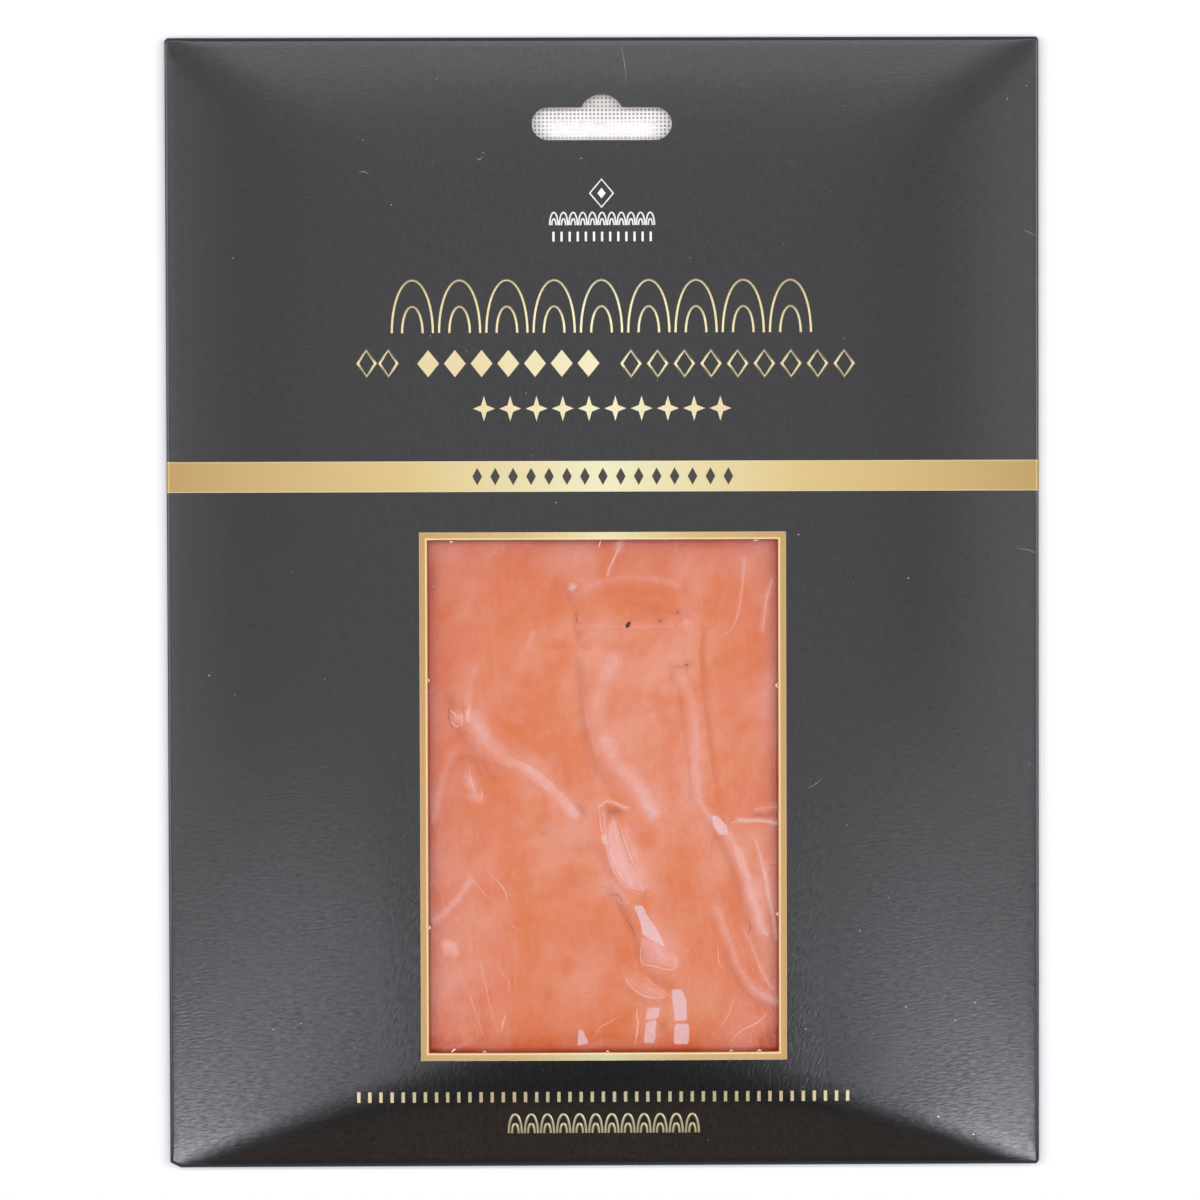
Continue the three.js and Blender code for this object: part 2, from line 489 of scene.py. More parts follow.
@dataclass(frozen=True)
class PackForm:
    """Heights of the card panels and of the pouch, over any place on the pack.

    Attributes:
        half_width: Half of the sleeve's width.
        half_height: Half of the sleeve's height.
        thickness: Greatest thickness of the pack.

    The other fields are the sizes of the sleeve and of the pouch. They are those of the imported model,
    except that the hips, where the swells of the sides and ends meet, are a little sharper here.
    """

    half_width: float
    half_height: float
    thickness: float
    card: float = 0.4 * MM
    fold_lift: float = 1.2 * MM
    side_climb: float = 62 * MM
    bottom_climb: float = 24 * MM
    top_climb: float = 46 * MM
    side_round: float = 0.95
    bottom_round: float = 0.45
    top_round: float = 0.85
    hip_round: float = 0.14
    back_curl: float = 10 * MM
    fold_reach: float = 0.9 * MM
    rim_reach: float = 0.35 * MM
    rim_drop: float = 0.09 * MM
    rim_shares: tuple[float, ...] = (0.12, 0.45, 1.0)
    window_step: float = 1.8 * MM
    window_centre: Point = (-0.2 * MM, -44.2 * MM)
    window_size: Point = (80.2 * MM, 117.4 * MM)
    slot_centre: Point = (-0.1 * MM, 109.6 * MM)
    slot_size: Point = (32 * MM, 7.5 * MM)
    slot_bump_rise: float = 3 * MM
    slot_bump_radius: float = 5.2 * MM
    slot_end_points: int = 19
    slot_bump_points: int = 17
    pouch_inset: float = 11 * MM
    pouch_base: float = 0.7 * MM
    seal: float = 0.6 * MM
    fish_half_width: float = 75 * MM
    fish_ends: Point = (-112 * MM, 82 * MM)
    fish_shoulder: float = 14 * MM
    film_sink: float = 1.55 * MM
    card_clearance: float = 0.15 * MM
    corner_cuts: tuple[CornerCut, ...] = (
        CornerCut(-1, -1, 2.4, 1.2),
        CornerCut(1, -1, 0.6, 0.8),
        CornerCut(1, 1, 0.5, 0.7),
        CornerCut(-1, 1, 0.7, 0.6),
    )

    @property
    def outline(self) -> np.ndarray:
        """Work out the corners of the sleeve, with the small cuts.

        Returns:
            The corners, anticlockwise.
        """
        corners = []
        for cut in self.corner_cuts:
            x = cut.side * self.half_width
            y = cut.end * self.half_height
            corners.append((x, y - cut.end * cut.along * MM))
            corners.append((x - cut.side * cut.across * MM, y))
        points = np.array(corners)
        angles = np.arctan2(points[:, 1], points[:, 0])
        return points[np.argsort(angles)]

    @property
    def window(self) -> np.ndarray:
        """Work out the corners of the window.

        Returns:
            The corners, anticlockwise from the lower left.
        """
        half = np.array(self.window_size) / 2
        signs = np.array([(-1, -1), (1, -1), (1, 1), (-1, 1)])
        return np.array(self.window_centre) + signs * half

    @property
    def slot(self) -> np.ndarray:
        """Work out the hang slot: a bar with round ends and a bump on its upper side.

        Returns:
            Its outline, anticlockwise.
        """
        end = self.slot_size[1] / 2
        straight = self.slot_size[0] / 2 - end
        bump_middle = end + self.slot_bump_rise - self.slot_bump_radius
        bump_start = math.asin((end - bump_middle) / self.slot_bump_radius)
        right = np.linspace(-math.pi / 2, math.pi / 2, self.slot_end_points)
        bump = np.linspace(bump_start, math.pi - bump_start, self.slot_bump_points)
        bump_x, bump_y = self.slot_bump_radius * np.cos(bump), self.slot_bump_radius * np.sin(bump)
        arcs = [
            np.column_stack([straight + end * np.cos(right), end * np.sin(right)]),
            np.column_stack([bump_x, bump_middle + bump_y]),
            np.column_stack([-straight - end * np.cos(right[::-1]), end * np.sin(right[::-1])]),
        ]
        return np.array(self.slot_centre) + np.concatenate(arcs)

    def around_window(self, distance: float) -> np.ndarray:
        """Make a loop round the window, with as many steps as every other such loop.

        Args:
            distance: How far outside the window it runs.

        Returns:
            Its points.
        """
        corners = self.window
        counts = step_counts(corners, self.window_step)
        return walk(inset(corners, -distance), 0, counts)

    def rim_loops(self) -> list[np.ndarray]:
        """Make the loops round the window where the punch has pressed the card down."""
        return [self.around_window(self.rim_reach * share) for share in self.rim_shares]

    def climb(self, distance: np.ndarray, width: float, reach: float) -> np.ndarray:
        """Give the share of the full swell at a distance in from a fold."""
        return soft_min(distance / width, 1.0, reach)

    def plain_front(self, x: np.ndarray, y: np.ndarray) -> np.ndarray:
        """Height of the front panel's outer face, with sharp folds.

        Args:
            x: Places across the sleeve.
            y: Places along the sleeve. Every height function of this file takes both.

        Returns:
            The height over each place.
        """
        bottom = self.climb(self.half_height + y, self.bottom_climb, self.bottom_round)
        top = self.climb(self.half_height - y, self.top_climb, self.top_round)
        side = self.climb(self.half_width - np.abs(x), self.side_climb, self.side_round)
        share = soft_min(side, np.minimum(bottom, top), self.hip_round)
        fold_top = self.fold_lift + 2 * self.card
        return fold_top + (self.thickness - fold_top) * np.maximum(share, 0)

    def plain_back(self, x: np.ndarray, y: np.ndarray) -> np.ndarray:
        """Height of the back panel's outer face, with sharp folds."""
        inward = np.minimum(self.half_width - np.abs(x), self.half_height - np.abs(y))
        return self.fold_lift * (1 - smooth_step(0, self.back_curl, inward))

    def fold_loss(self, x: np.ndarray, y: np.ndarray) -> np.ndarray:
        """Work out how much the rounding of the folds takes away from the card's height.

        Args:
            x: Places across the pack.
            y: Places along the pack.

        Returns:
            The loss at each place.
        """
        depth = depth_in(self.outline, np.column_stack([x, y]))
        short = 1 - np.clip(depth / self.fold_reach, 0, 1)
        return self.card * (1 - np.sqrt(1 - short**2))

    def rim_loss(self, x: np.ndarray, y: np.ndarray) -> np.ndarray:
        """Work out how far the punch presses the card down round the window.

        Args:
            x: Places across the pack.
            y: Places along the pack.

        Returns:
            The loss at each place.
        """
        half = np.array(self.window_size) / 2
        outside_x = np.abs(x - self.window_centre[0]) - half[0]
        outside_y = np.abs(y - self.window_centre[1]) - half[1]
        short = 1 - np.clip(np.maximum(outside_x, outside_y) / self.rim_reach, 0, 1)
        return self.rim_drop * (1 - np.sqrt(1 - short**2))

    def front(self, x: np.ndarray, y: np.ndarray) -> np.ndarray:
        """Height of the front panel's outer face."""
        return self.plain_front(x, y) - self.fold_loss(x, y) - self.rim_loss(x, y)

    def back(self, x: np.ndarray, y: np.ndarray) -> np.ndarray:
        """Height of the back panel's outer face."""
        return self.plain_back(x, y) + self.fold_loss(x, y)

    def front_inside(self, x: np.ndarray, y: np.ndarray) -> np.ndarray:
        """Height of the front panel's inner face."""
        return self.plain_front(x, y) - self.card

    def back_inside(self, x: np.ndarray, y: np.ndarray) -> np.ndarray:
        """Height of the back panel's inner face."""
        return self.plain_back(x, y) + self.card

    def film(self, x: np.ndarray, y: np.ndarray) -> np.ndarray:
        """Work out the height of the pouch's upper film, without slices and folds.

        Args:
            x: Places across the pack.
            y: Places along the pack.

        Returns:
            The height over each place.
        """
        low, high = self.fish_ends
        inside = np.minimum(
            self.fish_half_width - np.abs(x), (high - low) / 2 - np.abs(y - (high + low) / 2)
        )
        sealed = self.pouch_base + self.seal
        full = self.front_inside(x, y) - self.film_sink
        return sealed + np.maximum(full - sealed, 0) * smooth_step(0, self.fish_shoulder, inside)


class Signal:
    """A shader output that takes part in Python arithmetic."""

    def __init__(self, bench: "Bench", socket: Socket) -> None:
        """Wrap an output of a node on a bench."""
        self.bench = bench
        self.socket = socket

    def _maths(self, operation: str, *values: "Signal | float") -> "Signal":
        """Add one Math node over some values."""
        inputs = dict(enumerate(values))
        return self.bench.node("ShaderNodeMath", {"operation": operation}, inputs)

    def __add__(self, other: "Signal | float") -> "Signal":
        """Add a value."""
        return self._maths("ADD", self, other)

    __radd__ = __add__

    def __sub__(self, other: "Signal | float") -> "Signal":
        """Take a value away."""
        return self._maths("SUBTRACT", self, other)

    def __rsub__(self, other: float) -> "Signal":
        """Take this away from a number."""
        return self._maths("SUBTRACT", other, self)

    def __mul__(self, other: "Signal | float") -> "Signal":
        """Multiply by a value."""
        return self._maths("MULTIPLY", self, other)

    __rmul__ = __mul__

    def __truediv__(self, other: "Signal | float") -> "Signal":
        """Divide by a value."""
        return self._maths("DIVIDE", self, other)

    def __abs__(self) -> "Signal":
        """Drop the sign."""
        return self._maths("ABSOLUTE", self)

    def least(self, other: "Signal | float") -> "Signal":
        """Give the lesser of this and another value."""
        return self._maths("MINIMUM", self, other)

    def between(self, low: float, high: float) -> "Signal":
        """Rise smoothly from 0 to 1.

        Args:
            low: Level at which the rise starts.
            high: Level at which it ends.

        Returns:
            The risen signal.
        """
        settings = {"interpolation_type": "SMOOTHSTEP"}
        inputs = {"Value": self, "From Min": low, "From Max": high}
        return self.bench.node("ShaderNodeMapRange", settings, inputs)


class Bench:
    """Builds the node tree of one material."""

    def __init__(self, name: str) -> None:
        """Start a material with an empty tree.

        Args:
            name: Name of the material.
        """
        self.material = bpy.data.materials.new(name)
        self.material.use_nodes = True
        self.tree = self.material.node_tree
        self.tree.nodes.clear()

    def node(
        self,
        kind: str,
        settings: dict | None = None,
        inputs: dict | None = None,
        output: int | str = 0,
    ) -> Signal:
        """Add a node.

        Args:
            kind: Blender's name of the node's type.
            settings: Properties, set first; "stops" holds a ramp's places and colours.
            inputs: Values or signals, by a socket's name or number.
            output: Which output to give back.

        Returns:
            That output.
        """
        made = self.tree.nodes.new(kind)
        for key, value in (settings or {}).items():
            if key == "stops":
                self._set_stops(made.color_ramp, value)
            else:
                setattr(made, key, value)
        for key, value in (inputs or {}).items():
            if isinstance(value, Signal):
                self.tree.links.new(value.socket, made.inputs[key])
            else:
                made.inputs[key].default_value = value
        return Signal(self, made.outputs[output])

    def _set_stops(self, ramp: bpy.types.ColorRamp, stops: Iterable[tuple[float, Colour]]) -> None:
        """Give a ramp its places and colours.

        Args:
            ramp: The ramp, which has two stops at first.
            stops: Places from 0 to 1 with their colours.
        """
        stops = list(stops)
        while len(ramp.elements) < len(stops):
            ramp.elements.new(1.0)
        for element, (place, colour) in zip(ramp.elements, stops):
            element.position = place
            element.color = colour

    def axis(self, number: int) -> Signal:
        """Give the X, Y or Z of the place in the piece's own frame, in metres."""
        return self.node("ShaderNodeSeparateXYZ", None, {0: self.place()}, number)

    def place(self) -> Signal:
        """Give the place in the piece's own frame."""
        return self.node("ShaderNodeTexCoord", None, None, "Object")

    def field(self, name: str) -> Signal:
        """Give a number kept at the points of the piece."""
        return self.node("ShaderNodeAttribute", {"attribute_name": name}, None, "Fac")

    def noise(self, cell: tuple[float, float, float], detail: float = 3.0, turn: float = 0.0) -> Signal:
        """Give noise from 0 to 1.

        Args:
            cell: Size of its cells along each axis, in metres.
            detail: Number of finer layers.
            turn: Angle about Z by which the axes are turned.

        Returns:
            The noise.
        """
        scale = tuple(1 / side for side in cell)
        turned = self.node(
            "ShaderNodeMapping",
            {"vector_type": "POINT"},
            {"Vector": self.place(), "Rotation": (0, 0, turn)},
        )
        sized = self.node("ShaderNodeMapping", {"vector_type": "POINT"}, {"Vector": turned, "Scale": scale})
        return self.node("ShaderNodeTexNoise", None, {"Vector": sized, "Scale": 1.0, "Detail": detail})

    def blend(self, first: "Signal | Colour", second: "Signal | Colour", share: Signal | float) -> Signal:
        """Mix two colours by a share."""
        settings = {"data_type": "RGBA", "clamp_factor": True}
        return self.node("ShaderNodeMix", settings, {0: share, 6: first, 7: second}, 2)

    def bump(self, height: Signal, distance: float, strength: float = 1.0) -> Signal:
        """Turn a height from 0 to 1 into a surface normal."""
        inputs = {"Height": height, "Distance": distance, "Strength": strength}
        return self.node("ShaderNodeBump", None, inputs)

    def film(self, share: Signal) -> Signal:
        """Give a film's alpha: its milkiness sends light on downwards, so it shades nothing below."""
        return share * (1 - self.node("ShaderNodeLightPath", None, None, "Is Shadow Ray"))

    def surface(self, inputs: dict) -> bpy.types.Material:
        """Finish the material with a Principled surface.

        Args:
            inputs: Values or signals, by the names of the surface's sockets.

        Returns:
            The material.
        """
        shader = self.node("ShaderNodeBsdfPrincipled", None, inputs)
        end = self.tree.nodes.new("ShaderNodeOutputMaterial")
        self.tree.links.new(shader.socket, end.inputs["Surface"])
        return self.material


def grey(level: float) -> Colour:
    """Give a neutral colour."""
    return (level, level, level, 1.0)


@dataclass(frozen=True)
class Grain:
    """A pattern of noise on a surface.

    Attributes:
        cell: Size of its cells across and along, in millimetres.
        detail: Number of finer layers.
        turn: Angle by which it is turned.
        rise: Levels of the noise at which the pattern starts and is full.
    """

    cell: Point
    detail: float
    turn: float = 0.0
    rise: Point = (0.0, 1.0)

    def raw(self, bench: Bench) -> Signal:
        """Give the noise itself."""
        across, along = self.cell
        return bench.noise((across * MM, along * MM, 1.0), self.detail, self.turn)

    def on(self, bench: Bench) -> Signal:
        """Give the pattern, from 0 to 1."""
        return self.raw(bench).between(*self.rise)


@dataclass(frozen=True)
class BlackLaminate:
    """Black printed card under a satin film, with a fine fibrous grain, and folds lightened by wear and by a
    painted highlight.

    The grain's streaks lie level at the sides and upright in the middle, and fade towards the hang slot.
    """

    ink: Colour = (0.0065, 0.0065, 0.0071, 1.0)
    # Slate tone near the folds: wear and a painted highlight.
    fold_sheen_and_wear: Colour = (0.05, 0.06, 0.075, 1.0)
    fold_sheen_and_wear_share: float = 0.8
    fold_sheen_and_wear_ends: Point = (0.1 * MM, 1.3 * MM)
    level_grain: Grain = Grain((1.9, 0.46), 6.0, -0.12)
    upright_grain: Grain = Grain((0.46, 1.9), 6.0, 0.45)
    cloud: Grain = Grain((30, 30), 2.0)
    middle_ends: Point = (48 * MM, 56 * MM)
    grain_ends: Point = (-95 * MM, -20 * MM)
    grain_least: float = 0.4
    grain_height: float = 0.036 * MM
    roughness: float = 0.165
    grain_roughness: float = 0.08
    cloud_roughness: float = 0.06
    base_specular: float = 0.3
    coat: float = 0.4
    coat_swing: float = 1.6

    def make(self) -> bpy.types.Material:
        """Build the material.

        Returns:
            The material.
        """
        bench = Bench("black_laminate")
        level = self.level_grain.raw(bench)
        near_middle = 1 - abs(bench.axis(0)).between(*self.middle_ends)
        grain = level + (self.upright_grain.raw(bench) - level) * near_middle
        fade = bench.axis(1).between(*self.grain_ends) * (1 - self.grain_least)
        pressed = (grain - 0.5) * (1 - fade)
        cloud = (self.cloud.raw(bench) - 0.5) * self.cloud_roughness
        # Lighter slate tone near the folds: partly wear, partly a painted highlight.
        fold_sheen_and_wear = (1 - bench.field("fold").between(*self.fold_sheen_and_wear_ends)) * self.fold_sheen_and_wear_share
        return bench.surface(
            {
                "Base Color": bench.blend(self.ink, self.fold_sheen_and_wear, fold_sheen_and_wear),
                "Roughness": self.roughness + cloud + pressed * self.grain_roughness,
                "Specular IOR Level": self.base_specular,
                "Coat Weight": self.coat + pressed * self.coat_swing,
                "Coat Roughness": self.roughness,
                "Normal": bench.bump(pressed, self.grain_height),
            }
        )


@dataclass(frozen=True)
class PlainFinish:
    """An even finish with a soft mottle: board, ink or dust."""

    name: str
    colour: Colour
    roughness: float = 0.6
    mottle_depth: float = 0.18
    cell: float = 1.2 * MM
    relief: float = 0.006 * MM
    rise: Point = (0.2, 0.6)
    roughness_swing: float = 0.1

    def make(self) -> bpy.types.Material:
        """Build the material.

        Returns:
            The material.
        """
        bench = Bench(self.name)
        mottle = bench.noise((self.cell, self.cell, self.cell))
        dark = tuple(level * (1 - self.mottle_depth) for level in self.colour[:3]) + (1.0,)
        return bench.surface(
            {
                "Base Color": bench.blend(dark, self.colour, mottle.between(*self.rise)),
                "Roughness": self.roughness + (mottle - 0.5) * self.roughness_swing,
                "Normal": bench.bump(mottle, self.relief),
            }
        )


class FoilSpan(Enum):
    """Half of the width over which a foil's tone runs from pale in the middle to deep gold."""

    BAND = 100 * MM
    FRAME = 43 * MM
    TITLE = 60 * MM


@dataclass(frozen=True)
class GoldFoil:
    """Hot-stamped gold foil, pale in the middle, with brushed speckle and lighter borders."""

    span: FoilSpan
    pale: Colour = (0.63, 0.60, 0.38, 1.0)
    rich: Colour = (0.52, 0.39, 0.17, 1.0)
    deep: Colour = (0.36, 0.235, 0.09, 1.0)
    edge: Colour = (0.72, 0.64, 0.42, 1.0)
    black: Colour = (0.0, 0.0, 0.0, 1.0)
    places: tuple[float, ...] = (0.0, 0.45, 1.0)
    speckle: Grain = Grain((1.1, 0.16), 5.0, 0.0, (0.55, 0.8))
    speckle_depth: float = 0.22
    roughness: float = 0.34
    roughness_swing: float = 0.16
    metallic: float = 0.75
    relief: float = 0.004 * MM
    border: float = 0.3 * MM
    gain: float = 1.0
    glow: float = 0.55

    def make(self) -> bpy.types.Material:
        """Build the material.

        Returns:
            The material.
        """
        bench = Bench(f"gold_foil_{self.span.name.lower()}")
        across = abs(bench.axis(0)) / self.span.value
        stops = zip(self.places, (self.pale, self.rich, self.deep))
        tone = bench.node("ShaderNodeValToRGB", {"stops": stops}, {"Fac": across})
        speckle = self.speckle.raw(bench)
        bright = (1 - bench.field("border").between(0, self.border)) * self.glow
        tone = bench.blend(tone, self.edge, bright)
        tone = bench.blend(tone, self.deep, speckle.between(*self.speckle.rise) * self.speckle_depth)
        tone = bench.blend(tone, self.black, 1 - self.gain)
        return bench.surface(
            {
                "Base Color": tone,
                "Metallic": self.metallic,
                "Roughness": self.roughness + (speckle - 0.5) * self.roughness_swing,
                "Normal": bench.bump(speckle, self.relief),
            }
        )


@dataclass(frozen=True)
class FishFlesh:
    """Moist smoked salmon under clinging film: mottled pink orange, with fibres, darker stains and dark
    spots, painted shade in the hollows between slices and the card's painted shadow near the window's edges.
    """

    pink: Colour = (0.680, 0.166, 0.051, 1.0)
    light: Colour = (0.725, 0.256, 0.142, 1.0)
    orange: Colour = (0.655, 0.130, 0.010, 1.0)
    # Colour of the dark spots and of the painted shade in the hollows.
    dark: Colour = (0.400, 0.070, 0.025, 1.0)
    # Colour of the card's painted shadow near the window's edges.
    rim: Colour = (0.440, 0.036, 0.010, 1.0)
    cloud: Grain = Grain((15, 21), 4.0, 0.5, (0.4, 0.66))
    warm: Grain = Grain((8, 12), 4.0, 0.9, (0.48, 0.7))
    fibre: Grain = Grain((1.5, 17), 4.0, -0.12, (0.5, 0.72))
    mottle: Grain = Grain((2.4, 3.4), 6.0, 0.3, (0.5, 0.72))
    crinkle: Grain = Grain((1.3, 1.9), 5.0, -0.4)
    pale_ends: Point = (0.3, 0.48)
    seam_ends: Point = (0.1 * MM, 1.1 * MM)
    fibre_share: float = 0.35
    warm_share: float = 0.6
    cut_share: float = 0.12
    mottle_share: float = 0.35
    pale_share: float = 0.3
    seam_share: float = 0.2
    relief_shares: tuple[float, ...] = (0.3, 0.35, 0.35)
    relief: float = 0.16 * MM
    roughness: float = 0.26
    roughness_swing: float = 0.2

    def make(self) -> bpy.types.Material:
        """Build the material.

        Returns:
            The material.
        """
        bench = Bench("fish_flesh")
        fibre, mottle, crinkle = (grain.raw(bench) for grain in (self.fibre, self.mottle, self.crinkle))
        warm = self.warm.on(bench) * self.warm_share + bench.field("cut") * self.cut_share
        layers = (
            (self.light, self.cloud.on(bench)),
            (self.light, fibre.between(*self.fibre.rise) * self.fibre_share),
            (self.orange, warm),
            (self.orange, mottle.between(*self.mottle.rise) * self.mottle_share),
            (self.light, (1 - mottle.between(*self.pale_ends)) * self.pale_share),
            (self.orange, bench.field("stain")),
            (self.orange, (1 - bench.field("edge").between(*self.seam_ends)) * self.seam_share),
            # Dark spots, and painted shade in the hollows between slices.
            (self.dark, bench.field("dark_spots_and_shade")),
            # Painted shadow of the card near the window's edges.
            (self.rim, bench.field("shade")),
        )
        tone = self.pink
        for colour, share in layers:
            tone = bench.blend(tone, colour, share)
        first, second, third = self.relief_shares
        return bench.surface(
            {
                "Base Color": tone,
                "Roughness": self.roughness + (mottle - 0.5) * self.roughness_swing,
                "Normal": bench.bump(fibre * first + mottle * second + crinkle * third, self.relief),
            }
        )


@dataclass(frozen=True)
class ClearFilm:
    """Clear vacuum film: almost unseen where it clings, with a painted milky pink sheen where it stands off
    the fish.

    Fine wrinkles, pale with painted sheen, run one way in some patches of it and across them in the others.
    """

    name: str
    # Colours of the painted sheen, faint and full.
    milk: Colour = (0.70, 0.40, 0.345, 1.0)
    pearl: Colour = (0.75, 0.51, 0.475, 1.0)
    least: float = 0.01
    most: float = 0.9
    mottle: Grain = Grain((3.4, 5.5), 5.0, 0.5, (0.3, 0.66))
    mottle_least: float = 0.78
    mottle_swing: float = 0.28
    cloud: Grain = Grain((12, 20), 4.0, 0.4, (0.42, 0.7))
    veil: float = 0.22
    stain_clearing: float = 0.85
    patch: Grain = Grain((16, 16), 2.0, 0.0, (0.48, 0.62))
    along: Grain = Grain((7, 15), 2.0, 0.3, (0.002, 0.014))
    across: Grain = Grain((9, 5), 2.0, -0.6, (0.001, 0.012))
    wrinkle: float = 0.12
    across_share: float = 0.6
    roughness: float = 0.16
    roughness_swing: float = 0.06

    def wrinkles(self, bench: Bench, grain: Grain) -> Signal:
        """Give the thin lines along which a noise is at its middle level."""
        return 1 - abs(grain.raw(bench) - 0.5).between(*grain.rise)

    def make(self) -> bpy.types.Material:
        """Build the material.

        Returns:
            The material.
        """
        bench = Bench(self.name)
        mottle = self.mottle.on(bench)
        # Painted sheen where the film stands off the fish.
        lift = bench.field("sheen")
        swing = self.mottle_least + mottle * self.mottle_swing
        share = (self.least + lift * (self.most - self.least)) * swing
        clear = 1 - bench.field("stain") * self.stain_clearing
        share = share + self.cloud.on(bench) * clear * self.veil
        patch = self.patch.on(bench)
        share = share + self.wrinkles(bench, self.along) * patch * self.wrinkle
        across = self.wrinkles(bench, self.across) * (1 - patch)
        share = share + across * self.wrinkle * self.across_share
        return bench.surface(
            {
                "Base Color": bench.blend(self.milk, self.pearl, lift),
                "Roughness": self.roughness + (mottle - 0.5) * self.roughness_swing,
                "Alpha": bench.film(share.least(1.0)),
            }
        )


@dataclass(frozen=True)
class Glaze:
    """An even see-through finish, for the painted highlights of the film's creases, the painted shade of the
    fish's seams and the card's scratches.
    """

    name: str
    colour: Colour
    alpha: float
    roughness: float = 0.15
    mottle: Grain = Grain((0.8, 1.6), 3.0, 0.0, (0.25, 0.7))
    mottle_least: float = 0.7

    def make(self) -> bpy.types.Material:
        """Build the material.

        Returns:
            The material.
        """
        bench = Bench(self.name)
        mottle = self.mottle_least + self.mottle.on(bench) * (1 - self.mottle_least)
        return bench.surface(
            {
                "Base Color": self.colour,
                "Roughness": self.roughness,
                "Alpha": bench.film(self.alpha * mottle),
            }
        )


@dataclass(frozen=True)
class EmbossedFilm:
    """White sealed film seen in the hang slot, with a painted glare along its middle and a painted brown
    shadow under the slot's edge.

    Attributes:
        name: Name of the material.
        level: Grey level of the film away from the glare.
        middle: Height of the slot's middle on the pack. The other heights are measured from it.
    """

    name: str
    level: float
    middle: float
    glare_level: float = 0.97
    glare_share: float = 0.9
    glare_drop: float = 1.0 * MM
    glare_ends: Point = (0.8 * MM, 3.0 * MM)
    glare_sides: Point = (10 * MM, 15 * MM)
    shadow_brown: Colour = (0.42, 0.33, 0.28, 1.0)
    shadow_ends: Point = (2.2 * MM, 4.4 * MM)
    shadow_share: float = 0.4
    fold: Colour = (0.62, 0.60, 0.60, 1.0)
    fold_height: float = 0.6 * MM
    fold_reach: float = 1.6 * MM
    fold_share: float = 0.5
    crease: Grain = Grain((5, 0.9), 4.0, 0.0, (0.004, 0.03))
    relief: float = 0.1 * MM
    roughness: float = 0.35
    roughness_swing: float = 0.2

    def make(self) -> bpy.types.Material:
        """Build the material.

        Returns:
            The material.
        """
        bench = Bench(self.name)
        up = bench.axis(1) - self.middle
        crease = self.crease.raw(bench)
        # Painted glare along the middle.
        glare = 1 - abs(up + self.glare_drop).between(*self.glare_ends)
        glare = glare * (1 - abs(bench.axis(0)).between(*self.glare_sides)) * self.glare_share
        tone = bench.blend(grey(self.level), grey(self.glare_level), glare)
        # Painted shadow of the slot's edge.
        tone = bench.blend(tone, self.shadow_brown, up.between(*self.shadow_ends) * self.shadow_share)
        # Grey lines along the wrinkles near the fold: painted shade.
        wrinkle = 1 - abs(crease - 0.5).between(*self.crease.rise)
        near_fold = 1 - abs(up - self.fold_height).between(0, self.fold_reach)
        tone = bench.blend(tone, self.fold, wrinkle * near_fold * self.fold_share)
        return bench.surface(
            {
                "Base Color": tone,
                "Roughness": self.roughness + (crease - 0.5) * self.roughness_swing,
                "Normal": bench.bump(crease, self.relief),
            }
        )


@dataclass(frozen=True)
class PatchShine:
    """Pale mirror light on the film, with a darker rim round each patch."""

    pale: Colour = (0.72, 0.465, 0.455, 1.0)
    rim: Colour = (0.52, 0.20, 0.13, 1.0)
    rim_ends: Point = (0.06 * MM, 0.2 * MM)
    rim_share: float = 0.5
    grain: Grain = Grain((0.5, 1.1), 4.0, 0.4, (0.3, 0.7))
    grain_least: float = 0.82
    roughness: float = 0.15
    roughness_swing: float = 0.05

    def make(self) -> bpy.types.Material:
        """Build the material.

        Returns:
            The material.
        """
        bench = Bench("patch_shine")
        grain = self.grain.on(bench)
        brim = (1 - bench.field("brim").between(*self.rim_ends)) * self.rim_share
        strength = self.grain_least + grain * (1 - self.grain_least)
        return bench.surface(
            {
                "Base Color": bench.blend(self.pale, self.rim, brim),
                "Roughness": self.roughness + grain * self.roughness_swing,
                "Alpha": bench.film(bench.field("strength") * strength),
            }
        )


class Motif(Enum):
    """Shapes that the print's ornaments are made of."""

    ARCH = "arch"
    LOZENGE = "lozenge"
    OUTLINE = "outline"
    STAR = "star"
    TICK = "tick"


class Ink(Enum):
    """What the print's ornaments are printed with."""

    FOIL = "gold foil"
    DARK = "dark ink"
    WHITE = "white ink"


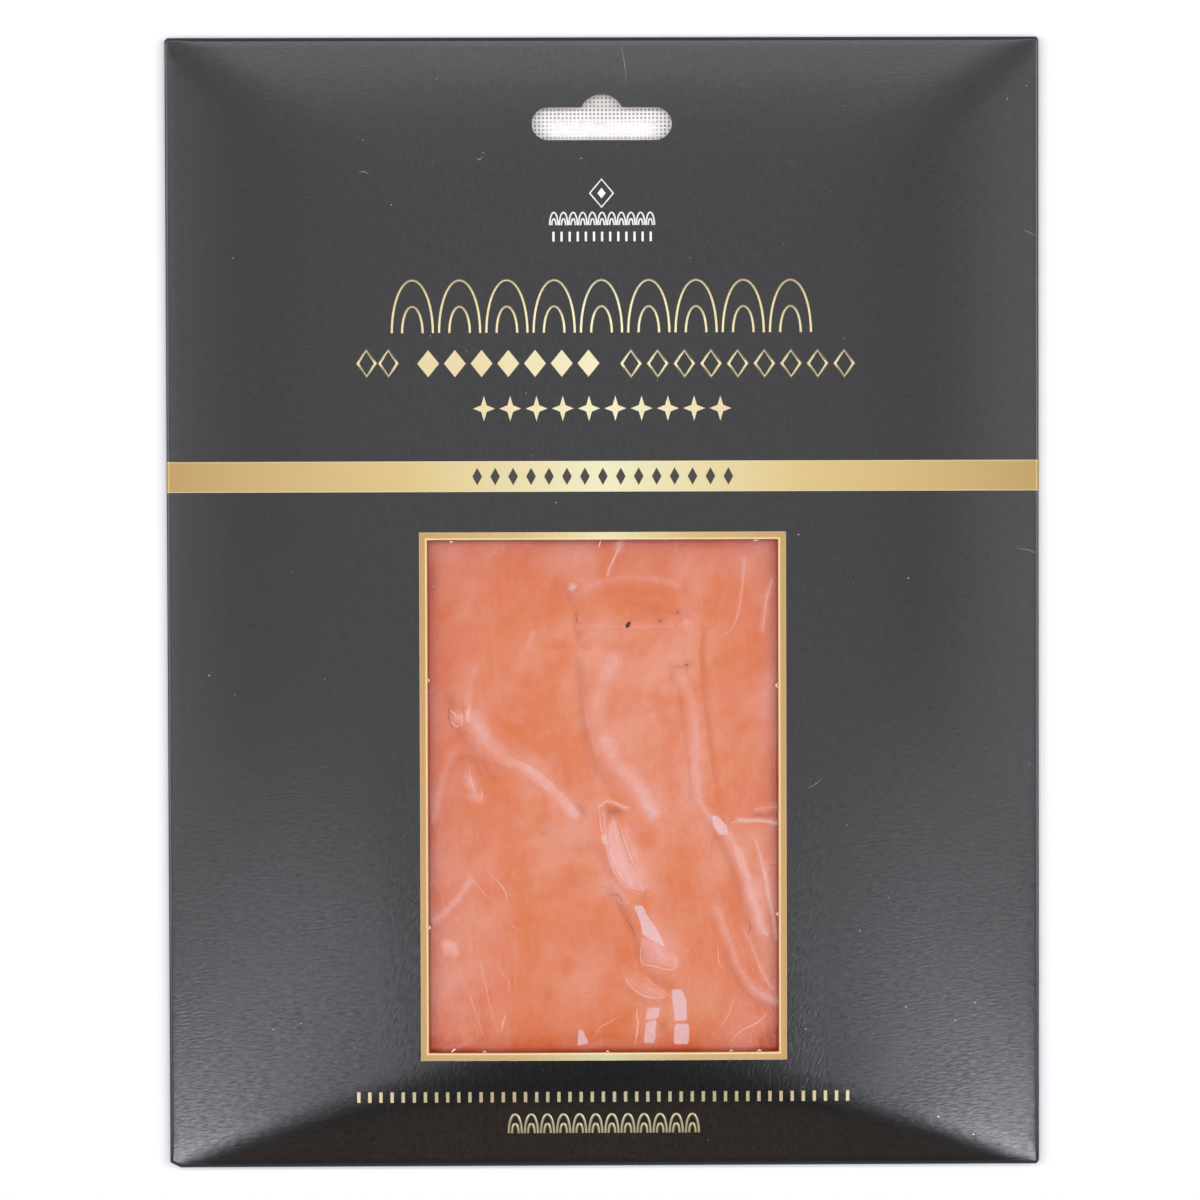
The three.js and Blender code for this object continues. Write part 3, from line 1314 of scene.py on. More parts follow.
class GeoTree:
    """A Geometry Nodes tree with named inputs, run once to make a plain mesh."""

    def __init__(self, name: str) -> None:
        """Start a tree with a geometry input and a geometry output.

        Args:
            name: Name of the tree.
        """
        self.tree = bpy.data.node_groups.new(name, "GeometryNodeTree")
        self.tree.interface.new_socket("Geometry", in_out="INPUT", socket_type="NodeSocketGeometry")
        self.tree.interface.new_socket("Geometry", in_out="OUTPUT", socket_type="NodeSocketGeometry")
        self.source = self.tree.nodes.new("NodeGroupInput")
        self.identifiers: dict[str, str] = {}

    def value(self, name: str, whole: bool = False) -> Socket:
        """Add a named number to the tree's inputs.

        Args:
            name: Its name.
            whole: True for a whole number.

        Returns:
            Its socket.
        """
        kind = "NodeSocketInt" if whole else "NodeSocketFloat"
        made = self.tree.interface.new_socket(name, in_out="INPUT", socket_type=kind)
        self.identifiers[name] = made.identifier
        return self.source.outputs[name]

    def node(self, kind: str, settings: dict | None = None, inputs: dict | None = None) -> bpy.types.Node:
        """Add a node.

        Args:
            kind: Blender's name of the node's type.
            settings: Properties, set first.
            inputs: Values or sockets, by a socket's name or number.

        Returns:
            The node.
        """
        made = self.tree.nodes.new(kind)
        for key, value in (settings or {}).items():
            setattr(made, key, value)
        for key, value in (inputs or {}).items():
            if isinstance(value, Socket):
                self.tree.links.new(value, made.inputs[key])
            else:
                made.inputs[key].default_value = value
        return made

    def maths(self, operation: str, *values: Number) -> Socket:
        """Add a Math node over some values."""
        return self.node("ShaderNodeMath", {"operation": operation}, dict(enumerate(values))).outputs[0]

    def vector(self, x: Number = 0.0, y: Number = 0.0, z: Number = 0.0) -> Socket:
        """Join three numbers into a vector."""
        return self.node("ShaderNodeCombineXYZ", None, {0: x, 1: y, 2: z}).outputs[0]

    def moved(self, geometry: Socket, **change: object) -> Socket:
        """Move, turn or stretch a geometry.

        Args:
            geometry: What is changed.
            change: The Transform node's Translation, Rotation or Scale.

        Returns:
            The changed geometry.
        """
        return self.node("GeometryNodeTransform", None, {"Geometry": geometry, **change}).outputs[0]

    def swept(self, curve: Socket, normal: str, profile: Socket, **scale: Socket) -> Socket:
        """Sweep a closed profile along a curve, with its ends filled.

        Args:
            curve: The curve.
            normal: Blender's name of the way in which the profile is kept from twisting.
            profile: The profile's curve.
            scale: A Scale for the profile, if it varies.

        Returns:
            A closed mesh.
        """
        upright = self.node("GeometryNodeSetCurveNormal", {"mode": normal}, {0: curve}).outputs[0]
        inputs = {"Curve": upright, "Profile Curve": profile, **scale, "Fill Caps": True}
        return self.node("GeometryNodeCurveToMesh", None, inputs).outputs[0]

    def placed(self, points: Socket, instance: Socket, scale: Socket) -> Socket:
        """Put a copy of a mesh on every point.

        Args:
            points: Geometry whose points are used.
            instance: The mesh.
            scale: Size of each copy.

        Returns:
            The copies.
        """
        inputs = {"Points": points, "Instance": instance, "Scale": scale}
        return self.node("GeometryNodeInstanceOnPoints", None, inputs).outputs[0]

    def finish(self, geometry: Socket, material: bpy.types.Material) -> None:
        """End the tree with real instances that wear a material.

        Args:
            geometry: What the tree has made.
            material: What it wears.
        """
        real = self.node("GeometryNodeRealizeInstances", None, {0: geometry})
        dress = {"Geometry": real.outputs[0], "Material": material}
        fold_sheen_and_wear = self.node("GeometryNodeSetMaterial", None, dress)
        end = self.tree.nodes.new("NodeGroupOutput")
        self.tree.links.new(fold_sheen_and_wear.outputs[0], end.inputs[0])

    def run(self, base: bpy.types.Object, values: dict[str, float]) -> bpy.types.Mesh:
        """Run the tree on an object.

        Args:
            base: The object that carries the tree for the run.
            values: Numbers for the named inputs.

        Returns:
            The mesh that the tree makes, with the modifier removed from the object.
        """
        modifier = base.modifiers.new("nodes", "NODES")
        modifier.node_group = self.tree
        for name, value in values.items():
            modifier[self.identifiers[name]] = value
        graph = bpy.context.evaluated_depsgraph_get()
        made = bpy.data.meshes.new_from_object(base.evaluated_get(graph), depsgraph=graph)
        base.modifiers.remove(modifier)
        return made


def book(piece: bpy.types.Object, slot: str, replaces: str = "") -> None:
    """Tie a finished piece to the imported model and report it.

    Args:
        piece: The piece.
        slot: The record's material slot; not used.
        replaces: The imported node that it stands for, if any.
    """
    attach(piece, BODY)
    if replaces:
        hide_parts(replaces)
    LOG.info("%s: %d faces", piece.name, len(piece.data.polygons))


@dataclass
class CardSleeve:
    """The folded and glued card sleeve, with its window and hang slots."""

    form: PackForm
    front_spacing: float = 2.2 * MM
    back_spacing: float = 3.5 * MM
    inside_spacing: float = 5 * MM
    fold_spacing: float = 2 * MM
    slot_spacing: float = 1.2 * MM
    cavity_spacing: float = 4 * MM
    cavity_inset: float = 1.6 * MM
    fold_steps: int = 6
    flap_edge: float = 84 * MM
    flap_step: float = 0.22 * MM
    flap_ramp: float = 0.25 * MM
    flap_share: float = 0.96
    flap_points: int = 90
    flap_sides: tuple[float, ...] = (-0.3 * MM, 0.0, 0.12 * MM, 0.25 * MM, 0.6 * MM)
    core: PlainFinish = PlainFinish("card_core", (0.72, 0.62, 0.47, 1.0), 0.7)
    board: PlainFinish = PlainFinish("raw_board", (0.55, 0.54, 0.52, 1.0), 0.8)

    def fold_loops(self) -> list[np.ndarray]:
        """Make the loops that round the folds.

        Returns:
            Their points, from the outline inwards, with as many in each loop.
        """
        corners = self.form.outline
        counts = step_counts(corners, self.fold_spacing)
        angles = np.linspace(0, math.pi / 2, self.fold_steps + 1)
        depths = self.form.fold_reach * (1 - np.cos(angles))
        return [walk(inset(corners, depth), 0, counts) for depth in depths]

    def flap_lines(self) -> list[np.ndarray]:
        """Make lines of points along the glued flap's edge.

        Returns:
            The points of each line, so that the step in the back has a clean edge.
        """
        end = self.form.half_height * self.flap_share
        along = np.linspace(-end, end, self.flap_points)
        return [
            np.column_stack([np.full(len(along), self.flap_edge + side), along])
            for side in self.flap_sides
        ]

    def back_face(self, x: np.ndarray, y: np.ndarray) -> np.ndarray:
        """Height of the back, with the glued flap's step along its right side."""
        step = self.flap_step * smooth_step(self.flap_edge, self.flap_edge + self.flap_ramp, x)
        return self.form.back(x, y) + step * (1 - self.near_fold(x, y))

    def near_fold(self, x: np.ndarray, y: np.ndarray) -> np.ndarray:
        """Give 1 at the folds and 0 further in than the back's curl."""
        inward = np.minimum(self.form.half_width - np.abs(x), self.form.half_height - np.abs(y))
        return 1 - smooth_step(self.form.fold_reach, self.form.back_curl, inward)

    def build(self) -> bpy.types.Object:
        """Make the sleeve: printed faces, raw board inside and pale cut edges.

        Returns:
            The finished piece.
        """
        form = self.form
        folds = self.fold_loops()
        window = form.around_window(0)
        slot = walk(form.slot, self.slot_spacing)
        inner = walk(inset(form.outline, self.cavity_inset), self.cavity_spacing)
        front = FlatDomain(folds[0], [window, slot], self.front_spacing, folds[1:] + form.rim_loops())
        back = FlatDomain(folds[0], [slot], self.back_spacing, folds[1:], self.flap_lines())
        printed, cut, raw = range(3)
        mesh = PieceMesh()
        mesh.lift(front, form.front, printed)
        mesh.lift(back, self.back_face, printed, True)
        mesh.lift(FlatDomain(inner, [window, slot], self.inside_spacing), form.front_inside, raw, True)
        mesh.lift(FlatDomain(inner, [slot], self.inside_spacing), form.back_inside, raw)
        mesh.wall(window, form.front, form.front_inside, cut)
        mesh.wall(slot, form.front, form.front_inside, cut)
        mesh.wall(slot, form.back_inside, form.back, cut)
        mesh.wall(inner, form.front_inside, form.back_inside, raw)
        made = mesh.make("sleeve_shell", [BlackLaminate().make(), self.core.make(), self.board.make()])
        store_field(made, "fold", lambda p: depth_in(form.outline, p[:, :2]))
        book(made, "card", "card_sleeve")
        return made


@dataclass
class FoilPrint:
    """Gold foil on the sleeve: the band round it and the frame round the window."""

    form: PackForm
    band_low: float = 25.6 * MM
    band_high: float = 32.6 * MM
    fold_points: int = 8
    panel_points: int = 46
    band_rows: int = 6
    frame_width: float = 1.85 * MM
    frame_spacing: float = 1.2 * MM
    border_width: float = 0.25 * MM
    line_inset: float = 0.34 * MM
    line_reach: float = 0.68 * MM
    outer_dimming: float = 0.13 * MM
    rise: float = 0.03 * MM
    sink: float = 0.05 * MM

    def raised(self, x: np.ndarray, y: np.ndarray) -> np.ndarray:
        """Height of the foil's upper face."""
        return self.form.front(x, y) + self.rise

    def sunk(self, x: np.ndarray, y: np.ndarray) -> np.ndarray:
        """Height of the foil's hidden lower face."""
        return self.form.front(x, y) - self.sink

    def across_band(self) -> np.ndarray:
        """Choose the places across the sleeve at which the band bends.

        Returns:
            Places from left to right, close together at the folds.
        """
        form = self.form
        edge = form.fold_reach * (1 - np.cos(np.linspace(0, math.pi / 2, self.fold_points)))
        inner = np.linspace(form.fold_reach, form.half_width, self.panel_points)[1:-1]
        left = -form.half_width + np.concatenate([edge, inner])
        return np.concatenate([left, [0.0], -left[::-1]])

    def band_rings(self) -> tuple[list[np.ndarray], list[np.ndarray]]:
        """Make rings round the sleeve at several heights of the band.

        Returns:
            The rings of the band's outer face and those of its hidden face.
        """
        across = self.across_band()
        outer, buried = [], []
        for y in np.linspace(self.band_low, self.band_high, self.band_rows):
            level = np.full(len(across), y)
            front = np.column_stack([across, self.form.front(across, level)])
            back = np.column_stack([across, self.form.back(across, level)])[::-1][1:-1]
            section = np.concatenate([front, back])
            along = np.roll(section, -1, axis=0) - np.roll(section, 1, axis=0)
            along /= np.linalg.norm(along, axis=1)[:, None]
            outward = np.column_stack([-along[:, 1], along[:, 0]])
            for shell, offset in ((outer, self.rise), (buried, -self.sink)):
                moved = section + outward * offset
                shell.append(np.column_stack([moved[:, 0], np.full(len(moved), y), moved[:, 1]]))
        return outer, buried

    def band(self) -> bpy.types.Object:
        """Make the band, a thin ring that goes round the sleeve and its folds.

        Returns:
            The finished piece.
        """
        outer, buried = self.band_rings()
        count = len(outer[0])
        here = np.arange(count)
        following = (here + 1) % count
        quads = np.stack([here, following, following + count, here + count], axis=1)
        mesh = PieceMesh()
        for shell in (outer, buried):
            for low, high in zip(shell[:-1], shell[1:]):
                mesh.add(np.concatenate([low, high]), quads, flip=shell is buried)
        for row in (0, -1):
            mesh.add(np.concatenate([outer[row], buried[row]]), quads)
        made = mesh.make("gold_band", [GoldFoil(FoilSpan.BAND).make()])
        low, high = self.band_low, self.band_high
        store_field(made, "border", lambda p: np.minimum(p[:, 1] - low, high - p[:, 1]))
        book(made, "gold_foil")
        return made

    def frame_foil(self) -> GoldFoil:
        """Give the frame's foil, with pinkish uprights and a bright thin line along both edges.

        Returns:
            The finish.
        """
        return GoldFoil(
            FoilSpan.FRAME,
            pale=(0.60, 0.56, 0.32, 1.0),
            rich=(0.50, 0.355, 0.155, 1.0),
            deep=(0.40, 0.25, 0.105, 1.0),
            edge=(0.84, 0.56, 0.32, 1.0),
            border=0.3 * MM,
            glow=0.85,
        )

    def to_border(self, points: np.ndarray) -> np.ndarray:
        """Give the distance to the frame's bright lines.

        Args:
            points: Places on the frame. One line is at its outer edge, the other just off the window.

        Returns:
            The distance from each place.
        """
        depth = depth_in(inset(self.form.window, -self.frame_width), points)
        inner_line = np.abs(self.frame_width - depth - self.line_inset)
        return np.minimum(depth + self.outer_dimming, inner_line)

    def frame(self) -> bpy.types.Object:
        """Make the foil frame round the window.

        Returns:
            The finished piece.
        """
        form = self.form
        outer = form.around_window(self.frame_width)
        hole = form.around_window(0)
        line = form.around_window(self.line_reach)
        border = form.around_window(self.frame_width - self.border_width)
        ring = FlatDomain(outer, [hole], self.frame_spacing, [*form.rim_loops(), line, border])
        mesh = PieceMesh()
        mesh.slab(ring, ring, self.raised, self.sunk)
        mesh.wall(hole, self.raised, self.sunk)
        made = mesh.make("window_frame", [self.frame_foil().make()])
        store_field(made, "border", lambda p: self.to_border(p[:, :2]))
        book(made, "gold_foil")
        return made


@dataclass(frozen=True)
class OrnamentRow:
    """A row of equal ornaments printed on the sleeve, in millimetres."""

    name: str
    motif: Motif
    count: int
    middle: Point
    pitch: float
    width: float
    height: float
    stroke: float = 0.6
    ink: Ink = Ink.FOIL


@dataclass
class Ornaments:
    """Rows of plain ornaments in the places where such a sleeve carries its print."""

    form: PackForm
    rise: float = 0.035 * MM
    sink: float = 0.05 * MM
    inner_share: float = 0.5
    star_points: int = 4
    star_waist: float = 0.36
    arch_points: int = 25
    rows: tuple[OrnamentRow, ...] = (
        OrnamentRow("title_arches", Motif.ARCH, 9, (-0.3, 61.9), 10.8, 9.4, 12.0, 0.62),
        OrnamentRow("left_lozenges", Motif.OUTLINE, 2, (-51.5, 55), 5.0, 4.2, 6.2, 0.78),
        OrnamentRow("bold_lozenges", Motif.LOZENGE, 7, (-21.6, 54.9), 6.1, 5.0, 6.2),
        OrnamentRow("right_lozenges", Motif.OUTLINE, 9, (30.8, 54.8), 6.1, 4.4, 6.2, 0.78),
        OrnamentRow("star_row", Motif.STAR, 10, (-0.2, 44.6), 6.0, 5.0, 5.8),
        OrnamentRow("band_lozenges", Motif.LOZENGE, 15, (-0.1, 29.1), 4.1, 2.2, 4.0, 0.5, Ink.DARK),
        OrnamentRow("low_ticks", Motif.TICK, 45, (-0.4, -113.2), 2.55, 0.75, 2.4),
        OrnamentRow("low_arches", Motif.ARCH, 12, (-0.3, -121.7), 3.7, 3.0, 4.4, 0.58),
        OrnamentRow("white_mark", Motif.OUTLINE, 1, (-0.2, 93.7), 1.0, 5.4, 6.4, 0.42, Ink.WHITE),
        OrnamentRow("white_core", Motif.LOZENGE, 1, (-0.2, 93.7), 1.0, 1.9, 2.4, 0.4, Ink.WHITE),
        OrnamentRow("white_arches", Motif.ARCH, 11, (-0.1, 86.4), 2.2, 1.9, 2.9, 0.36, Ink.WHITE),
        OrnamentRow("white_ticks", Motif.TICK, 13, (-0.1, 83.8), 1.85, 0.5, 2.2, 0.4, Ink.WHITE),
    )

    def tree(self, motif: Motif, material: bpy.types.Material) -> GeoTree:
        """Build the tree that repeats a motif along a row.

        Args:
            motif: The shape to repeat.
            material: What it wears.

        Returns:
            The tree, with inputs for the count and sizes.
        """
        tree = GeoTree(f"row_of_{motif.value}")
        count = tree.value("Count", True)
        pitch, width, height, stroke, left, level = (
            tree.value(name) for name in ("Pitch", "Width", "Height", "Stroke", "Left", "Level")
        )
        shape = self.shape(tree, motif, (width, height), stroke)
        line = tree.node(
            "GeometryNodeMeshLine",
            {"mode": "OFFSET", "count_mode": "TOTAL"},
            {"Count": count, "Start Location": tree.vector(left, level), "Offset": tree.vector(pitch)},
        )
        copies = {"Points": line.outputs[0], "Instance": shape}
        tree.finish(tree.node("GeometryNodeInstanceOnPoints", None, copies).outputs[0], material)
        return tree

    def shape(self, tree: GeoTree, motif: Motif, size: tuple[Number, Number], stroke: Number) -> Socket:
        """Make one closed ornament, lying flat, as thick as the foil.

        Args:
            tree: The tree that it is made in.
            motif: The shape.
            size: Its width and height.
            stroke: Width of its lines, where it is drawn with lines.

        Returns:
            Its geometry.
        """
        width, height = size
        half_width = tree.maths("MULTIPLY", width, 0.5)
        half_height = tree.maths("MULTIPLY", height, 0.5)
        if motif is Motif.ARCH:
            outer = self.arch(tree, half_width, height)
            smaller = [tree.maths("MULTIPLY", side, self.inner_share) for side in (half_width, height)]
            inner = self.arch(tree, *smaller)
            return self.joined(tree, [self.stroked(tree, arc, stroke) for arc in (outer, inner)])
        if motif is Motif.TICK:
            return self.solid(tree, self.bar(tree, width, height))
        if motif is Motif.STAR:
            radii = {"Points": self.star_points, "Inner Radius": self.star_waist, "Outer Radius": 1.0}
            star = tree.node("GeometryNodeCurveStar", None, radii).outputs[0]
            return self.solid(tree, tree.moved(star, Scale=tree.vector(half_width, half_height, 1.0)))
        kite = tree.moved(self.bar(tree, 1.0, 1.0), Rotation=(0, 0, math.pi / 4))
        sides = [tree.maths("DIVIDE", side, math.sqrt(2)) for side in (width, height)]
        sized = tree.moved(kite, Scale=tree.vector(*sides, 1.0))
        return self.solid(tree, sized) if motif is Motif.LOZENGE else self.stroked(tree, sized, stroke)

    def joined(self, tree: GeoTree, parts: Sequence[Socket]) -> Socket:
        """Join the parts of a motif.

        Args:
            tree: The tree that they are in.
            parts: Geometry of each part.

        Returns:
            The geometry of all.
        """
        join = tree.node("GeometryNodeJoinGeometry")
        for part in parts:
            tree.tree.links.new(part, join.inputs[0])
        return join.outputs[0]

    def bar(self, tree: GeoTree, width: Number, height: Number) -> Socket:
        """Draw a rectangle as a closed curve."""
        sides = {"Width": width, "Height": height}
        return tree.node("GeometryNodeCurvePrimitiveQuadrilateral", None, sides).outputs[0]

    def arch(self, tree: GeoTree, half_width: Number, height: Number) -> Socket:
        """Make a half ellipse that stands on its row's base line.

        Args:
            tree: The tree that it is made in.
            half_width: Half of its width.
            height: Its height.

        Returns:
            The curve.
        """
        sweep = {"Resolution": self.arch_points, "Radius": 1.0, "Sweep Angle": math.pi}
        arc = tree.node("GeometryNodeCurveArc", None, sweep).outputs[0]
        return tree.moved(arc, Scale=tree.vector(half_width, height, 1.0))

    def stroked(self, tree: GeoTree, curve: Socket, stroke: Number) -> Socket:
        """Draw a curve with a flat pen.

        Args:
            tree: The tree that it is made in.
            curve: The curve.
            stroke: Width of the pen.

        Returns:
            A closed mesh.
        """
        return tree.swept(curve, "Z_UP", self.bar(tree, stroke, self.rise + self.sink))

    def solid(self, tree: GeoTree, outline: Socket) -> Socket:
        """Fill a closed outline and give it the foil's thickness.

        Args:
            tree: The tree that it is made in.
            outline: The closed curve.

        Returns:
            A closed mesh.
        """
        depth = (self.rise + self.sink) / 2
        ends = {"Start": (0, 0, -depth), "End": (0, 0, depth)}
        spine = tree.node("GeometryNodeCurvePrimitiveLine", None, ends).outputs[0]
        return tree.swept(spine, "MINIMUM_TWIST", outline)

    def values(self, row: OrnamentRow) -> dict[str, float]:
        """Give the numbers that a row's tree takes.

        Args:
            row: The row.

        Returns:
            Values by the names of the tree's inputs, in metres.
        """
        return {
            "Count": row.count,
            "Pitch": row.pitch * MM,
            "Width": row.width * MM,
            "Height": row.height * MM,
            "Stroke": row.stroke * MM,
            "Left": (row.middle[0] - row.pitch * (row.count - 1) / 2) * MM,
            "Level": row.middle[1] * MM,
        }

    def finishes(self) -> dict[Ink, tuple[bpy.types.Material, str]]:
        """Make the print's finishes.

        Returns:
            The material and the record's slot of each.
        """
        return {
            Ink.FOIL: (GoldFoil(FoilSpan.TITLE, gain=0.96).make(), "gold_foil"),
            Ink.DARK: (PlainFinish("dark_ink", (0.035, 0.028, 0.022, 1.0), 0.5).make(), "card"),
            Ink.WHITE: (PlainFinish("white_ink", grey(0.96), 0.5).make(), "card"),
        }

    def build(self) -> list[bpy.types.Object]:
        """Make every row. The dark ones lie on the foil band.

        Returns:
            The finished pieces.
        """
        finishes = self.finishes()
        made = []
        for row in self.rows:
            material, slot = finishes[row.ink]
            base = blank_object(row.name)
            base.data = self.tree(row.motif, material).run(base, self.values(row))
            extra = self.rise if row.ink is Ink.DARK else 0.0
            settle(base.data, lambda x, y, extra=extra: self.form.front(x, y) + extra)
            close_seams(base.data)
            book(base, slot)
            made.append(base)
        return made


@dataclass(frozen=True)
class Slice:
    """A slice of fish: an outline with rounded corners, in millimetres, and how dark its cut is."""

    name: str
    corners: tuple[Point, ...]
    tone: float
    corner_share: float = 0.25
    rounds: int = 3

    def outline(self) -> np.ndarray:
        """Make the slice's edge as a closed loop with rounded corners."""
        return cut_corners(to_metres(self.corners), self.corner_share, self.rounds)

    def inside(self, x: np.ndarray, y: np.ndarray) -> np.ndarray:
        """Give the distance inside the slice's edge, negative outside it.

        Args:
            x: Places across the pack.
            y: Places along the pack.

        Returns:
            The distance at each place.
        """
        points = np.column_stack([x, y])
        loop = self.outline()
        gap = distance_to(closed(loop), points)
        return np.where(is_inside(loop, points), gap, -gap)


def ripple(points: np.ndarray, amount: float = 1.0) -> np.ndarray:
    """Shift places by a fraction of a millimetre, so that soft marks get uneven edges.

    Each sum holds waves, with their height in millimetres and their turning along X or Y a millimetre.

    Args:
        points: The places.
        amount: How far they are shifted.

    Returns:
        The shifted places.
    """
    x, y = points[:, 0] / MM, points[:, 1] / MM
    dx = 0.28 * np.sin(y * 0.9 + 1.3 * np.sin(x * 0.5)) + 0.14 * np.sin(y * 2.3 + x * 0.7)
    dy = 0.3 * np.sin(x * 0.8 + 1.7 * np.sin(y * 0.45)) + 0.14 * np.sin(x * 2.1 - y * 0.9)
    return points + np.column_stack([dx, dy]) * amount * MM


@dataclass(frozen=True)
class Ridge:
    """A place where the film stands off the fish along a line, in millimetres, with a painted sheen along
    it.
    """

    path: tuple[Point, ...]
    half: float
    rise: float
    sheen: float
    core_share: float = 0.68
    core_width: float = 0.8
    core_power: float = 2.6
    halo_width: float = 1.9

    def strength(self, points: np.ndarray) -> np.ndarray:
        """Give 1 on the ridge's crest, falling to 0 away from it."""
        crest = rounded_path(to_metres(self.path))
        return np.exp(-((distance_to(crest, points) / (self.half * MM)) ** 2))

    def veil(self, points: np.ndarray) -> np.ndarray:
        """Give the painted sheen round the ridge: a clear core and a wider, fainter halo.

        Args:
            points: The places.

        Returns:
            A number from 0 to 1 for each place.
        """
        gap = distance_to(rounded_path(to_metres(self.path)), points) / (self.half * MM)
        core = self.core_share * np.exp(-((gap / self.core_width) ** self.core_power))
        return core + (1 - self.core_share) * np.exp(-((gap / self.halo_width) ** 2))


@dataclass(frozen=True)
class Valley:
    """Painted shade in a hollow between slices, along a line, in millimetres."""

    path: tuple[Point, ...]
    half: float
    strength: float
    unevenness: float = 0.4

    def share(self, points: np.ndarray) -> np.ndarray:
        """Give the hollow's painted shade at some places."""
        gap = distance_to(rounded_path(to_metres(self.path)), ripple(points, self.unevenness))
        return self.strength * np.exp(-((gap / (self.half * MM)) ** 2))


@dataclass(frozen=True)
class Spot:
    """An oval place, in millimetres, turned by degrees, with a strength from 0 to 1."""

    middle: Point
    across: float
    along: float
    strength: float
    turn: float = 0.0
    crisp: float = 1.0

    def share(self, points: np.ndarray) -> np.ndarray:
        """Give the spot's strength at some places.

        Args:
            points: The places.

        Returns:
            The share at each place.
        """
        angle = math.radians(self.turn)
        offset = ripple(points) - np.array(self.middle) * MM
        u = (offset[:, 0] * math.cos(angle) + offset[:, 1] * math.sin(angle)) / (self.across * MM)
        v = (-offset[:, 0] * math.sin(angle) + offset[:, 1] * math.cos(angle)) / (self.along * MM)
        return self.strength * np.exp(-(np.hypot(u, v) ** (2 * self.crisp)))


SLICES = (
    Slice(
        "low_left",
        ((-56, -36), (-30, -34), (-8, -43), (8, -52), (13, -72), (14, -96), (4, -111), (-54, -111)),
        0.3,
    ),
    Slice("back_top", ((-12, 24), (60, 24), (60, -4), (20, -3), (-8, 0)), 0.1),
    Slice("low_right", ((60, -40), (30, -44), (23, -56), (25, -72),
                        (30, -88), (42, -97), (60, -100)), 0.5),
    Slice(
        "low_middle",
        ((-2, -47), (12, -49), (23, -55), (27, -68), (31, -84),
         (44, -94), (54, -111), (4, -111), (9, -95), (8, -84),
         (5, -75), (2, -67), (-1.5, -58)),
        0.6,
    ),
    Slice("right", ((21, -5), (40, 3), (60, 0), (60, -48),
                    (36, -50), (27, -51), (24.5, -38), (22.5, -20)), 0.9),
    Slice(
        "centre",
        ((-5, -11), (0, -7), (17, -8), (20, -16), (19, -30),
         (21, -46), (12, -50), (2, -46), (-2, -38), (-5, -28),
         (-6, -18)),
        0.2,
    ),
    Slice(
        "high_left",
        ((-60, 14), (-34, 24), (-6, 24), (-7.5, 2), (-6, -6),
         (-6, -14), (-4.4, -27), (-1, -38), (-4, -46),
         (-9, -46.5), (-20, -36.5), (-32, -26), (-44, -24), (-60, -28)),
        0.5,
    ),
    Slice("high_middle", ((-7.2, 1.6), (-2, 4.6), (4, 5.6), (12, 5), (19, 3),
                          (22, -2), (16, -6.5), (2, -6.4), (-6, -6)), 0.8),
)

